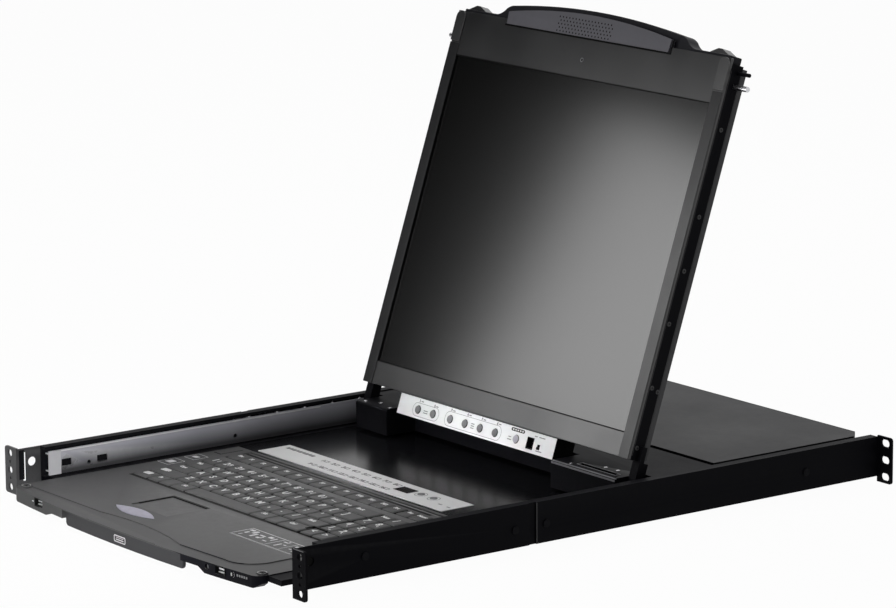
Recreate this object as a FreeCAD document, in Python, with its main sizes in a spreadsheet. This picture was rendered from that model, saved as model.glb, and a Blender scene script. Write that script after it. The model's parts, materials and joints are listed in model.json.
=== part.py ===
"""Rack-mounted LCD console drawer: a keyboard module and a folding 19-inch screen on two pairs of slides.

Millimetres.  The origin is the centre of the front ears' hole pattern, on the face that meets the rack.
+X is right, +Y goes into the rack and +Z is up.  Both modules are home and the screen leans open.
"""
import FreeCAD, Part
import os

import Sketcher

V = FreeCAD.Vector
doc = FreeCAD.newDocument("lcd_console_drawer")

# ---------------------------------------------------------------- driving sizes
SIZES = {
    # rack and chassis
    "hole_out": 10.85, "hole_step": 15.875, "rack_hole_dia": 7.0, "cage_hole_dia": 3.2,
    "ear_reach": 19.6, "ear_tall": 43.6, "ear_thick": 2.0, "ear_corner": 3.0,
    "slot_long": 11.0, "rail_span": 653.0, "relief_front": 5.4, "relief_back": 8.6,
    "relief_low": -9.8, "relief_top": 17.2,
    "chassis_half": 221.7, "chassis_top": 20.8, "chassis_low": -16.5, "sheet": 1.5,
    "chassis_front": 24.0, "chassis_back": 650.0, "lip_wide": 6.7,
    "front_plate_back": 246.0, "rear_plate_front": 253.6, "lock_pin_drop": 19.5, "lock_hole_z": 7.6,
    "lock_hole_dia": 8.5, "screw_dia": 4.2, "screw_play": 0.1,
    "screw_head_dia": 7.1, "screw_head": 1.2, "rear_screw_in": 11.0,
    "rear_screw_out": 90.0,
    # telescopic slides
    "channel_thick": 1.2, "channel_tall": 26.7, "channel_wide": 6.4, "channel_back": 640.0,
    "ball_dia": 3.2, "ball_play": 0.15, "ball_pitch": 32.0, "slide_travel": 420.0,
    "cage_thick": 0.5, "runner_web": 1.2, "runner_deep": 7.0, "runner_gap": 1.1,
    "runner_low": -5.8, "runner_top": 16.6,
    "runner_front": 27.0, "runner_back": 636.0, "runner_end": 39.5, "runner_end_thick": 0.8,
    # keyboard module
    "cover_gap_left": 0.2, "cover_gap_right": 19.2, "tray_inset": 14.5, "tray_top": -8.0,
    "tray_low": -14.6, "tray_skin": 1.2, "tray_gap": 11.0, "tray_front_bow": 1800.0,
    "tray_front": -14.5, "front_corner": 9.0, "plate_thick": 1.6, "fascia_low": -21.0, "fascia_step": -17.5,
    "fascia_mid": -15.0, "fascia_right_low": -19.5, "fascia_deep": 11.0,
    "handle_left": -109.0, "handle_right": 82.0, "handle_low": -24.0, "handle_deep": 3.2,
    "handle_round": 4.0, "handle_back": 4.9, "shelf_drop": 0.8, "shelf_back": 88.0,
    "shelf_right": 157.3, "shelf_turn_x": 125.5, "shelf_turn_y": -5.1, "shelf_turn_up": 25.0,
    "shelf_round": 27.4, "dip_right": 60.0, "dip_right_y": -8.0, "dip_left": -79.0, "dip_left_y": -1.6,
    "dip_round": 314.0, "well_left": -180.0, "well_right": 164.5, "well_front": 93.0, "well_back": 228.0,
    "key_pitch": 19.0, "key_gap": 1.6, "key_tall": 3.4, "key_taper": 1.1, "key_top": -6.6,
    "key_travel": 2.2, "row_space": 8.0, "key_first": 94.5, "side_block": 90.5, "side_pitch": 18.0,
    "palm_back": 232.0, "pad_left": -85.0, "pad_right": -27.0, "pad_front": 34.6, "pad_back": 79.0,
    "pad_drop": 0.8, "click_front": 14.5, "click_back": 28.5, "click_bow": 62.0,
    "strip_left": -180.0, "strip_right": 109.0, "strip_front": 236.0, "strip_back": 272.0,
    "strip_thick": 0.6, "window_left": 17.0, "window_right": 39.0, "window_front": 249.0,
    "window_back": 262.5, "port_button_dia": 7.0, "port_button_y": 257.0, "port_button_one": 49.8,
    "port_button_two": 68.7, "button_play": 0.25,
    "usb_wide": 14.0, "usb_tall": 7.0, "usb_left_x": -154.5, "usb_right_x": 139.0,
    "usb_z": -13.0, "reset_x": 120.5, "reset_dia": 4.6, "reset_proud": 4.2, "led_x": 154.0, "led_dia": 3.0,
    "catch_wide": 8.0, "catch_long": 9.0, "catch_thick": 1.9, "catch_stem": 1.9, "catch_play": 0.3,
    "catch_travel": 3.2, "catch_y": -7.0, "catch_in_left": 9.0, "catch_in_right": 5.0,
    # screen carriage
    "deck_ahead": 19.5, "deck_behind": 82.0, "deck_top": 20.0, "deck_low": -5.5, "deck_sheet": 1.2,
    "deck_round": 2.0, "deck_slot_in": 9.7, "deck_slot_long": 54.0, "deck_slot_ahead": 7.0,
    "deck_slot_wide": 5.5,
    "recess_left": -147.0, "recess_right": 106.0, "recess_behind": 14.0, "notch_behind": 13.0,
    "pivot_behind": 18.0, "pivot_z": 10.75, "pivot_pin_dia": 6.0, "pivot_play": 0.05, "barrel_dia": 14.0,
    "arm_gap": 15.0, "arm_wide": 10.0, "bracket_thick": 8.0, "side_play": 0.3,
    # screen panel, in its own plane: up from its lower edge, and out from its front face
    "lean": 18.6, "pivot_up": -22.5, "pivot_out": -14.8, "panel_gap": 10.4, "bezel_over": 4.5,
    "panel_deep": 23.0, "frame_wall": 3.0, "frame_back": 16.0, "frame_tall": 362.0,
    "back_inset": 2.0, "back_skin": 1.5,
    "bezel_thick": 3.0, "screen_side": 13.45, "screen_over": 42.8, "screen_up": 22.6,
    "screen_drop": 1.4, "screen_thick": 8.0, "strip_wide": 13.7, "strip_proud": 0.9, "cap_tall": 29.5,
    "cap_gap": 1.6,
    "cap_proud": 1.5, "cap_round": 6.4, "grip_in_left": 78.1, "grip_in_right": 84.1, "grip_drop": 4.9,
    "grip_rise": 6.7, "grip_radius": 775.0, "grip_proud": 1.8, "grip_inset": 1.2, "lug_gap": 0.3,
    "rim": 3.2, "rim_rise": 13.1, "rim_radius": 1003.0, "handle_thick": 17.0, "base_rise": 2.7,
    "shoulder_rise": 9.9, "shoulder_left": 23.0, "shoulder_right": 33.0, "shoulder_share": 0.45, "shoulder_round": 22.0,
    "base_inset": 5.6, "handle_skin": 2.5, "handle_room": 5.0,
    "control_left": -139.0, "control_right": 100.0, "control_low": -20.0, "control_gap": 0.5,
    "control_deep": 22.0, "osd_button_dia": 7.3, "osd_button_up": -11.5,
    "osd_button_proud": 1.6, "osd_button_deep": 5.0, "osd_bore_deep": 7.0, "control_slant": 6.0,
    "upgrade_port_x": 64.0, "port_half": 4.8, "port_rise": 5.3, "port_wall": 0.8, "port_play": 0.2,
    "port_room": 14.0, "upgrade_switch_x": 77.0, "nub_half": 1.7, "nub_tall": 2.5, "nub_drop": 3.7,
    "nub_deep": 3.6, "nub_proud": 1.0, "nub_travel": 2.0,
    "lock_pin_dia": 5.0, "lock_pin_short": 2.2, "stud_drop": 11.5, "stud_out": -12.0, "stud_dia": 3.6,
    "stud_short": 4.7, "knob_inset": 23.1, "knob_tall": 4.4, "knob_wide": 26.0, "knob_flat": 5.0,
    "knob_low": -14.0, "knob_high": -4.0, "knob_gap": 0.2, "knob_travel": 5.0, "stem_half": 4.0,
    "stem_low": -12.0, "stem_high": -8.0,
    # fixed rear housing
    "housing_behind": 4.0, "housing_gap": 3.5, "housing_back": 646.0, "housing_chamfer": 12.0,
    "inlet_inset": 40.5, "inlet_z": 1.5, "inlet_wide": 27.0, "inlet_tall": 20.0, "inlet_deep": 18.0,
    "switch_inset": 24.5, "switch_wide": 12.0, "switch_tall": 18.4, "entry_wall": 1.5, "entry_play": 0.3,
    "entry_flange": 2.5, "socket_row_low": -6.5, "socket_row_high": 9.5, "socket_half": 8.4,
    "socket_narrow": 1.2, "socket_rise": 4.2, "socket_flange": 15.4, "socket_flange_rise": 6.2,
    "socket_flange_thick": 0.8, "socket_proud": 5.2, "socket_play": 0.2, "supply_wide": 72.5,
    "supply_drop": 6.0, "board_gap": 10.0, "board_rise": 4.0, "board_thick": 1.6,
}
KEY_ROWS = (
    ("keys_row_space", (1.25, 1, 1, 1.25, 5.5, 1.25, 1, 1.75)),
    ("keys_row_shift", (2.25,) + (1,) * 10 + (1.75,)),
    ("keys_row_home", (1.75,) + (1,) * 11 + (1.25,)),
    ("keys_row_upper", (1.5,) + (1,) * 11 + (1.5,)),
    ("keys_row_digits", (1,) * 12 + (2,)),
    ("keys_row_function", (1,) * 14),
)
SIDE_COLUMNS = 4
OSD_BUTTONS = (("menu", -108.0), ("auto", -84.5), ("down", -57.6), ("up", -34.7), ("left", -11.5),
               ("right", 11.5), ("lock", 43.3))
SOCKETS_ACROSS, SOCKET_PITCH, SOCKET_FIRST = 8, 34.0, -110.0
INLET_PINS = ((-7, -2), (0, 2), (7, -2))
RAIL_WINDOWS = ((40.6, 51.3, 0.9, 7.5), (78.7, 90.0, -1.0, 5.6))     # y and z spans
RAIL_HOLES = ((70.0, 0.6), (232.0, 1.4))                              # y and z


class Size:
    """A length that is a number now and, for the document, a formula on the sheet."""

    def __init__(self, value, text):
        self.value, self.text = float(value), text

    def join(self, sign, other, flipped=False):
        other = as_size(other)
        a, b = (other, self) if flipped else (self, other)
        value = {"+": a.value + b.value, "-": a.value - b.value, "*": a.value * b.value}.get(sign)
        value = a.value / b.value if sign == "/" else value
        return Size(value, "(%s %s %s)" % (a.text, sign, b.text))

    def __add__(self, other):
        return self.join("+", other)

    def __radd__(self, other):
        return self.join("+", other, True)

    def __sub__(self, other):
        return self.join("-", other)

    def __rsub__(self, other):
        return self.join("-", other, True)

    def __mul__(self, other):
        return self.join("*", other)

    def __rmul__(self, other):
        return self.join("*", other, True)

    def __truediv__(self, other):
        return self.join("/", other)

    def __neg__(self):
        return Size(-self.value, "(0 - %s)" % self.text)


def as_size(length):
    return length if isinstance(length, Size) else Size(length, "(%r)" % float(length))


def trig(name, angle):
    from math import cos, radians, sin
    value = {"sin": sin, "cos": cos}[name](radians(angle.value))
    return Size(value, "%s(%s)" % (name, angle.text))


def fill_sheet():
    """Writes the driving sizes into the sheet and hands each back as a bound Size."""
    sheet = doc.addObject("Spreadsheet::Sheet", "Sizes")
    bound = {}
    for row, (name, value) in enumerate(SIZES.items(), start=1):
        sheet.set("A%d" % row, name.replace("_", " "))
        sheet.set("B%d" % row, repr(value))
        sheet.setAlias("B%d" % row, name)
        bound[name] = Size(value, "Sizes." + name)
    doc.recompute()
    return type("Sizes", (), bound)


S = fill_sheet()
nodes = {}


# ---------------------------------------------------------------- building blocks
def bind(thing, path, length):
    thing.setExpression(path, as_size(length).text)


def node(name, thing):
    """Names the object as one sub-part of the drawer."""
    thing.Label = name
    nodes[name] = thing
    return thing


def box(name, x, y, z):
    """A block between pairs of planes."""
    block = doc.addObject("Part::Box", name)
    for prop, axis, (low, high) in zip(("Length", "Width", "Height"), "xyz", (x, y, z)):
        bind(block, prop, high - low)
        bind(block, "Placement.Base." + axis, low)
    return block


TURN_TO = {"x": ((0, 1, 0), 90), "y": ((1, 0, 0), -90), "z": ((0, 0, 1), 0)}


def rod(name, axis, centre, radius, span):
    """A round bar along an axis, between two planes across it."""
    bar = doc.addObject("Part::Cylinder", name)
    turn = TURN_TO[axis]
    bar.Placement = FreeCAD.Placement(V(), FreeCAD.Rotation(V(*turn[0]), turn[1]))
    bind(bar, "Radius", radius)
    bind(bar, "Height", span[1] - span[0])
    places = dict(zip([a for a in "xyz" if a != axis], centre))
    places[axis] = span[0]
    for letter, place in places.items():
        bind(bar, "Placement.Base." + letter, place)
    return bar


def taper(name, x, y, z, inset):
    """A block whose top is drawn in by the inset on each side, as a key cap's is."""
    cap = doc.addObject("Part::Wedge", name)
    cap.Placement = FreeCAD.Placement(V(), FreeCAD.Rotation(V(1, 0, 0), 90))
    limits = {"Xmin": x[0], "Xmax": x[1], "Ymin": z[0], "Ymax": z[1], "Zmin": -y[1], "Zmax": -y[0],
              "X2min": x[0] + inset, "X2max": x[1] - inset, "Z2min": inset - y[1], "Z2max": -y[0] - inset}
    for prop, limit in limits.items():
        bind(cap, prop, limit)
    return cap


def fuse(name, *shapes):
    joined = doc.addObject("Part::MultiFuse", name)
    joined.Shapes = list(shapes)
    joined.Refine = True
    return joined


def cut(name, base, *tools):
    """The base less the tools."""
    result = doc.addObject("Part::Cut", name)
    result.Base = base
    result.Tool = tools[0] if len(tools) == 1 else fuse(name + "_tools", *tools)
    result.Refine = True
    return result


def common(name, one, other):
    shared = doc.addObject("Part::Common", name)
    shared.Base, shared.Tool = one, other
    return shared


def group(name, solids):
    """Separate solids that share one node."""
    gathered = doc.addObject("Part::Compound", name)
    gathered.Links = list(solids)
    return gathered


def outline(sketch, corners):
    """Draws a closed outline.  A corner's third value is the radius of the arc that follows it.

    The arc bulges out of the outline, or into it where the radius is below zero.
    """
    spots = [(as_size(c[0]), as_size(c[1]), as_size(c[2]) if len(c) > 2 else None) for c in corners]
    count = len(spots)
    for i, (u, v, radius) in enumerate(spots):
        start = V(u.value, v.value, 0)
        end = V(spots[(i + 1) % count][0].value, spots[(i + 1) % count][1].value, 0)
        if radius is None:
            sketch.addGeometry(Part.LineSegment(start, end))
            continue
        half = (end - start).Length / 2
        rise = abs(radius.value) - (radius.value ** 2 - half ** 2) ** 0.5
        away = V((end - start).y, -(end - start).x, 0).normalize()
        # a sketch keeps its arcs counter-clockwise, so an inward one is drawn from its far end
        if radius.value > 0:
            sketch.addGeometry(Part.Arc(start, (start + end) * 0.5 + away * rise, end))
        else:
            sketch.addGeometry(Part.Arc(end, (start + end) * 0.5 - away * rise, start))
    ends = []
    for i, (u, v, radius) in enumerate(spots):
        inward = radius is not None and radius.value < 0
        ends.append((2, 1) if inward else (1, 2))
    for i in range(count):
        after = (i + 1) % count
        sketch.addConstraint(Sketcher.Constraint("Coincident", i, ends[i][1], after, ends[after][0]))
    for i, (u, v, radius) in enumerate(spots):
        for kind, place in (("DistanceX", u), ("DistanceY", v)):
            k = sketch.addConstraint(Sketcher.Constraint(kind, -1, 1, i, ends[i][0], place.value))
            sketch.setExpression("Constraints[%d]" % k, place.text)
        if radius is not None:
            k = sketch.addConstraint(Sketcher.Constraint("Radius", i, abs(radius.value)))
            sketch.setExpression("Constraints[%d]" % k, "abs(%s)" % radius.text)


def padded(name, plane, corners, span):
    """A PartDesign body: an outline on one origin plane, padded between two places along its normal.

    XY outlines are (x, y), XZ outlines are (x, z) and YZ outlines are (y, z).
    """
    body = doc.addObject("PartDesign::Body", name)
    sketch = body.newObject("Sketcher::SketchObject", name + "_outline")
    origin = next(o for o in body.Origin.OriginFeatures if o.Role == plane + "_Plane")
    sketch.AttachmentSupport = (origin, [""])
    sketch.MapMode = "FlatFace"
    low, high = as_size(span[0]), as_size(span[1])
    bind(sketch, "AttachmentOffset.Base.z", -high if plane == "XZ" else low)
    outline(sketch, corners)
    pad = body.newObject("PartDesign::Pad", name + "_pad")
    pad.Profile = sketch
    bind(pad, "Length", high - low)
    return body


def rounded(body, radius, *tests):
    """Rounds the straight edges of a body's last feature for which a test holds."""
    doc.recompute()
    base = body.Tip
    names = []
    for i, edge in enumerate(base.Shape.Edges, start=1):
        if len(edge.Vertexes) == 2 and any(test(edge) for test in tests):
            names.append("Edge%d" % i)
    fillet = body.newObject("PartDesign::Fillet", body.Name + "_round")
    fillet.Base = (base, names)
    bind(fillet, "Radius", radius)
    body.Tip = fillet
    return body


def along(axis, where=lambda middle: True):
    """A test for edges that run along an axis and whose middle suits."""
    def test(edge):
        way = edge.Vertexes[1].Point - edge.Vertexes[0].Point
        rest = [abs(getattr(way, a)) for a in "xyz" if a != axis]
        return max(rest) < 1e-4 and where(edge.CenterOfMass)
    return test


def both_sides(side, near, far):
    """An X span on the right (+1) or left (-1) side."""
    return (near, far) if side > 0 else (-far, -near)


SIDES = (("left", -1), ("right", 1))

# ---------------------------------------------------------------- shared planes
HOLE_X = S.chassis_half + S.hole_out                    # half the rack's own hole spacing of 465.1
WALL_IN = S.chassis_half - S.sheet                      # inner face of the chassis side walls
PLATE_OUT = S.chassis_half + S.sheet                    # outer face of the rack brackets
LIP_UNDER = S.chassis_top - S.sheet                     # underside of the chassis lips
FLOOR_TOP = S.chassis_low + S.sheet
CHANNEL_LOW = LIP_UNDER - S.channel_tall
CHANNEL_IN = WALL_IN - S.channel_thick                  # inner face of a channel's web
CHANNEL_EDGE = WALL_IN - S.channel_wide
BALL_ROOM = S.ball_dia + S.ball_play * 2
RACE_TOP = LIP_UNDER - S.channel_thick                  # upper ball race of the channel
RACE_LOW = CHANNEL_LOW + S.channel_thick                # lower ball race of the channel
RUNNER_IN = CHANNEL_IN - S.runner_deep                  # inner face of the carriage rail's web
RUNNER_OUT = RUNNER_IN + S.runner_web
RACE_EDGE = CHANNEL_IN - S.runner_gap                   # how far the carriage rail's flanges reach
PLATE_LOW = S.tray_top - S.plate_thick                  # underside of the keyboard covers
HOUSING_HALF = RUNNER_IN - S.housing_gap                # the fixed housing stands between the rails
PIVOT_Y = S.frame_tall + S.pivot_behind                 # the hinge stands back by the folded panel's height
CLOSED_Y = PIVOT_Y + S.pivot_up                         # a closed panel's lower edge
CLOSED_Z = S.pivot_z + S.pivot_out                      # a closed panel's front face, turned down
LOCK_UP = S.frame_tall - S.lock_pin_drop                # the locking pins, in the panel's own plane
LOCK_OUT = CLOSED_Z - S.lock_hole_z
LOCK_HOLE_Y = CLOSED_Y - LOCK_UP                        # and the holes that they meet
DECK_FRONT = PIVOT_Y - S.deck_ahead
DECK_BACK = PIVOT_Y + S.deck_behind
RECESS_BACK = PIVOT_Y + S.recess_behind
NOTCH_BACK = PIVOT_Y + S.notch_behind
HOUSING_FRONT = DECK_BACK + S.housing_behind
TRAY_BACK = HOUSING_FRONT - S.tray_gap
TRAY_HALF = S.chassis_half - S.tray_inset
COVER_LEFT = S.cover_gap_left - TRAY_HALF               # the keyboard covers
COVER_RIGHT = TRAY_HALF - S.cover_gap_right
CATCH_LEFT = COVER_LEFT + S.catch_in_left
CATCH_RIGHT = COVER_RIGHT - S.catch_in_right
ARM_IN = RUNNER_IN - S.arm_gap                          # inner face of the hinge arms
PANEL_HALF = RUNNER_IN - S.panel_gap
PANEL_TALL = S.frame_tall + S.bezel_over
SCREEN_HALF = PANEL_HALF - S.screen_side
SCREEN_TALL = PANEL_TALL - S.screen_up - S.screen_over
HANDLE_BASE = PANEL_TALL + S.base_rise
KNOB_X = PANEL_HALF - S.knob_inset


# ---------------------------------------------------------------- chassis, fixed to the rack
def screw_spots():
    """Screws that hold the rack brackets, as (y, z) on each side."""
    return ((S.front_plate_back * 0.29, as_size(2.6)), (S.front_plate_back - 15.3, as_size(-0.5)),
            (S.rear_plate_front + S.rear_screw_in, as_size(0.4)),
            (S.rail_span - S.rear_screw_out, as_size(0.4)))


def make_chassis_shell():
    """One folded tray: floor, side walls and inward lips."""
    lip = WALL_IN - S.lip_wide
    half, top, low = S.chassis_half, S.chassis_top, S.chassis_low
    right = [(half, low), (half, top), (lip, top), (lip, LIP_UNDER), (WALL_IN, LIP_UNDER),
             (WALL_IN, FLOOR_TOP)]
    left = [(-x, z) for x, z in reversed(right)]
    tray = padded("chassis_section", "XZ", right + left, (S.chassis_front, S.chassis_back))
    holes = [rod("chassis_hole_%s_%d" % (name, i), "x", spot, S.screw_dia / 2,
                 both_sides(side, WALL_IN - 1, PLATE_OUT))
             for name, side in SIDES for i, spot in enumerate(screw_spots())]
    node("chassis_shell", cut("chassis_drilled", tray, *holes))


def ear_blank(name, side, y):
    tip = S.chassis_half + S.ear_reach
    ear = padded(name, "XZ", [(both_sides(side, S.chassis_half, tip)[i], z * S.ear_tall / 2)
                              for i, z in ((0, -1), (1, -1), (1, 1), (0, 1))], y)
    return rounded(ear, S.ear_corner, along("y", lambda c: abs(c.x) > tip.value - 1))


def make_rack_brackets():
    """Ears and the long plates behind them, with round holes in front and slots at the rear."""
    for name, side in SIDES:
        x = as_size(side) * HOLE_X
        plate_x = both_sides(side, S.chassis_half, PLATE_OUT)
        through = both_sides(side, S.chassis_half - 1, PLATE_OUT + 1)
        front_y = (-S.ear_thick, as_size(0))
        plate = box("front_plate_" + name, plate_x, (-S.ear_thick, S.front_plate_back),
                    (S.chassis_low, S.chassis_top))
        blank = fuse("front_blank_" + name, ear_blank("front_ear_" + name + "_flat", side, front_y), plate)
        tools = [rod("front_hole_%s_%d" % (name, i), "y", (x, S.hole_step * step), dia / 2,
                     (-S.ear_thick - 1, as_size(1)))
                 for i, (step, dia) in enumerate(((-1, S.rack_hole_dia), (0, S.rack_hole_dia),
                                                  (1, S.rack_hole_dia), (-0.5, S.cage_hole_dia),
                                                  (0.5, S.cage_hole_dia)))]
        tools.append(rod("lock_hole_" + name, "x", (LOCK_HOLE_Y, S.lock_hole_z), S.lock_hole_dia / 2,
                         through))
        tools.append(box("bend_relief_" + name, through, (S.relief_front, S.relief_back),
                         (S.relief_low, S.relief_top)))
        tools += [rod("front_screw_hole_%s_%d" % (name, i), "x", spot, S.screw_dia / 2, through)
                  for i, spot in enumerate(screw_spots()[:2])]
        node("front_bracket_" + name, cut("front_bracket_%s_cut" % name, blank, *tools))

        rear_y = (S.rail_span - S.ear_thick, S.rail_span)
        plate = box("rear_plate_" + name, plate_x, (S.rear_plate_front, S.rail_span),
                    (S.chassis_low, S.chassis_top))
        blank = fuse("rear_blank_" + name, ear_blank("rear_ear_" + name + "_flat", side, rear_y), plate)
        tools = []
        reach = (S.slot_long - S.rack_hole_dia) / 2
        for i, step in enumerate((-1, 0, 1)):
            z = S.hole_step * step
            y = (rear_y[0] - 1, rear_y[1] + 1)
            label = "slot_%s_%d" % (name, i)
            tools += [rod(label + "_a", "y", (x - reach, z), S.rack_hole_dia / 2, y),
                      rod(label + "_b", "y", (x + reach, z), S.rack_hole_dia / 2, y),
                      box(label, (x - reach, x + reach), y,
                          (z - S.rack_hole_dia / 2, z + S.rack_hole_dia / 2))]
        tools += [rod("rear_screw_hole_%s_%d" % (name, i), "x", spot, S.screw_dia / 2, through)
                  for i, spot in enumerate(screw_spots()[2:])]
        node("rear_bracket_" + name, cut("rear_bracket_%s_cut" % name, blank, *tools))


def make_bracket_screws():
    screws = []
    for name, side in SIDES:
        for i, spot in enumerate(screw_spots()):
            label = "bracket_screw_%s_%d" % (name, i)
            head = rod(label + "_head", "x", spot, S.screw_head_dia / 2,
                       both_sides(side, PLATE_OUT, PLATE_OUT + S.screw_head))
            shank = rod(label + "_shank", "x", spot, S.screw_dia / 2 - S.screw_play,
                        both_sides(side, WALL_IN, PLATE_OUT))
            screws.append(fuse(label, head, shank))
    node("bracket_screws", group("bracket_screw_set", screws))


def make_slide_channels():
    """Fixed outer members of the screen's ball slides; their lower flange also holds the keyboard down."""
    t = S.channel_thick
    section = [(CHANNEL_EDGE, CHANNEL_LOW), (WALL_IN, CHANNEL_LOW), (WALL_IN, LIP_UNDER),
               (CHANNEL_EDGE, LIP_UNDER), (CHANNEL_EDGE, RACE_TOP), (WALL_IN - t, RACE_TOP),
               (WALL_IN - t, RACE_LOW), (CHANNEL_EDGE, RACE_LOW)]
    pair = [padded("channel_" + name, "XZ", [(as_size(side) * x, z) for x, z in section],
                   (S.chassis_front, S.channel_back)) for name, side in SIDES]
    node("slide_channels", group("channel_pair", pair))


def make_rear_housing():
    """Fixed housing of the switch electronics: folded cover, rear panel and what is inside."""
    half, top, skin = HOUSING_HALF, S.chassis_top, S.deck_sheet
    front, back = HOUSING_FRONT, S.housing_back
    nip = S.housing_chamfer
    plan = [(-half, front), (half, front), (half, back - nip), (half - nip, back), (nip - half, back),
            (-half, back - nip)]
    inner = [(skin - half, front + skin), (half - skin, front + skin), (half - skin, back - nip),
             (half - nip - skin / 2, back + 1), (nip - half + skin / 2, back + 1), (skin - half, back - nip)]
    cover = padded("cover_outer", "XY", plan, (FLOOR_TOP, top))
    hollow = padded("cover_inner", "XY", inner, (FLOOR_TOP - 1, top - skin))
    node("rear_cover", cut("rear_cover_folded", cover, hollow))

    width = half - nip - skin
    panel = box("rear_panel_sheet", (-width, width), (back, back + skin), (FLOOR_TOP, top))
    holes, shells = [], []
    through = (back - 1, back + skin + 1)
    wide, tall, play = S.socket_half, S.socket_rise, S.socket_play
    for row, z in enumerate((S.socket_row_low, S.socket_row_high)):
        for i in range(SOCKETS_ACROSS):
            x = as_size(SOCKET_FIRST + SOCKET_PITCH * i)
            label = "socket_%d_%d" % (row, i)
            holes.append(box(label + "_hole", (x - wide - play, x + wide + play), through,
                             (z - tall - play, z + tall + play)))
            flange = box(label + "_flange", (x - S.socket_flange, x + S.socket_flange),
                         (back + skin, back + skin + S.socket_flange_thick),
                         (z - S.socket_flange_rise, z + S.socket_flange_rise))
            barrel = taper(label + "_shell", (x - wide, x + wide), (back - 4, back + skin + S.socket_proud),
                           (z - tall, z + tall), as_size(0))
            bind(barrel, "Xmin", x - wide + S.socket_narrow)
            bind(barrel, "Xmax", x + wide - S.socket_narrow)
            shells.append(fuse(label + "_body", flange, barrel))
    inlet_x, inlet_z, play = S.inlet_inset - half, S.inlet_z, S.entry_play
    wide, tall = S.inlet_wide / 2, S.inlet_tall / 2
    holes.append(box("inlet_hole", (inlet_x - wide - play, inlet_x + wide + play), through,
                     (inlet_z - tall - play, inlet_z + tall + play)))
    switch_x = half - S.switch_inset
    switch_half, switch_rise = S.switch_wide / 2, S.switch_tall / 2
    holes.append(box("switch_hole", (switch_x - switch_half - play, switch_x + switch_half + play), through,
                     (inlet_z - switch_rise - play, inlet_z + switch_rise + play)))
    node("rear_panel", cut("rear_panel_cut", panel, *holes))
    node("port_sockets", group("socket_set", shells))

    wall, rim = S.entry_wall, S.entry_flange
    flange = box("inlet_flange", (inlet_x - wide - rim, inlet_x + wide + rim), (back + skin, back + skin + 2),
                 (inlet_z - tall - 2, inlet_z + tall + 2))
    case = box("inlet_case", (inlet_x - wide, inlet_x + wide), (back - S.inlet_deep, back + skin),
               (inlet_z - tall, inlet_z + tall))
    well = box("inlet_well", (inlet_x - wide + wall, inlet_x + wide - wall),
               (back - S.inlet_deep + 3, back + skin + 3), (inlet_z - tall + 2, inlet_z + tall - 2))
    pins = [box("inlet_pin_%d" % i, (inlet_x + dx - 1, inlet_x + dx + 1), (back - S.inlet_deep + 3, back - 4),
                (inlet_z + dz - 2, inlet_z + dz + 2)) for i, (dx, dz) in enumerate(INLET_PINS)]
    inlet = fuse("inlet_whole", cut("inlet_shell", fuse("inlet_solid", flange, case), well), *pins)

    frame_x = (switch_x - switch_half, switch_x + switch_half)
    room_x = (frame_x[0] + 1.3, frame_x[1] - 1.3)
    frame = fuse("switch_frame_solid",
                 box("switch_bezel", (frame_x[0] - wall, frame_x[1] + wall),
                     (back + skin, back + skin + wall),
                     (inlet_z - switch_rise - wall, inlet_z + switch_rise + wall)),
                 box("switch_case", frame_x, (back - 12, back + skin),
                     (inlet_z - switch_rise, inlet_z + switch_rise)))
    room = box("switch_room", room_x, (back - 6, back + skin + 3),
               (inlet_z - switch_rise + 1, inlet_z + switch_rise - 1))
    node("power_entry", group("inlet_and_switch_frame", (inlet, cut("switch_frame_cut", frame, room))))
    pivot_y = back + skin - 2
    reach, face = switch_rise - 1.8, back + skin
    paddle = padded("rocker_paddle", "YZ",
                    [(pivot_y, inlet_z - 2.2), (face + 1, inlet_z - reach),
                     (face + 3.2, inlet_z - reach + 0.2), (face + 1.6, inlet_z),
                     (face + 3.2, inlet_z + reach - 0.2), (face + 1, inlet_z + reach),
                     (pivot_y, inlet_z + 2.2)],
                    (room_x[0] + 0.3, room_x[1] - 0.3))
    node("power_rocker", paddle)

    supply_x = (6 - half, 6 - half + S.supply_wide)
    inside = front + 12
    board_x = (supply_x[1] + S.board_gap, half - 6)
    board_y = (inside, back - nip - 4)
    board_low = FLOOR_TOP + S.board_rise
    board = box("switch_board", board_x, board_y, (board_low, board_low + S.board_thick))
    posts = [rod("board_post_%d%d" % (i, j), "z", (x, y), 2.5, (FLOOR_TOP, board_low))
             for i, x in enumerate((board_x[0] + 10, board_x[1] - 10))
             for j, y in enumerate((board_y[0] + 10, board_y[1] - 10))]
    node("switch_board", fuse("board_on_posts", board, *posts))
    supply = box("supply_case", supply_x, (inside, back - nip * 2), (FLOOR_TOP, top - S.supply_drop))
    node("power_supply", supply)


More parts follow.
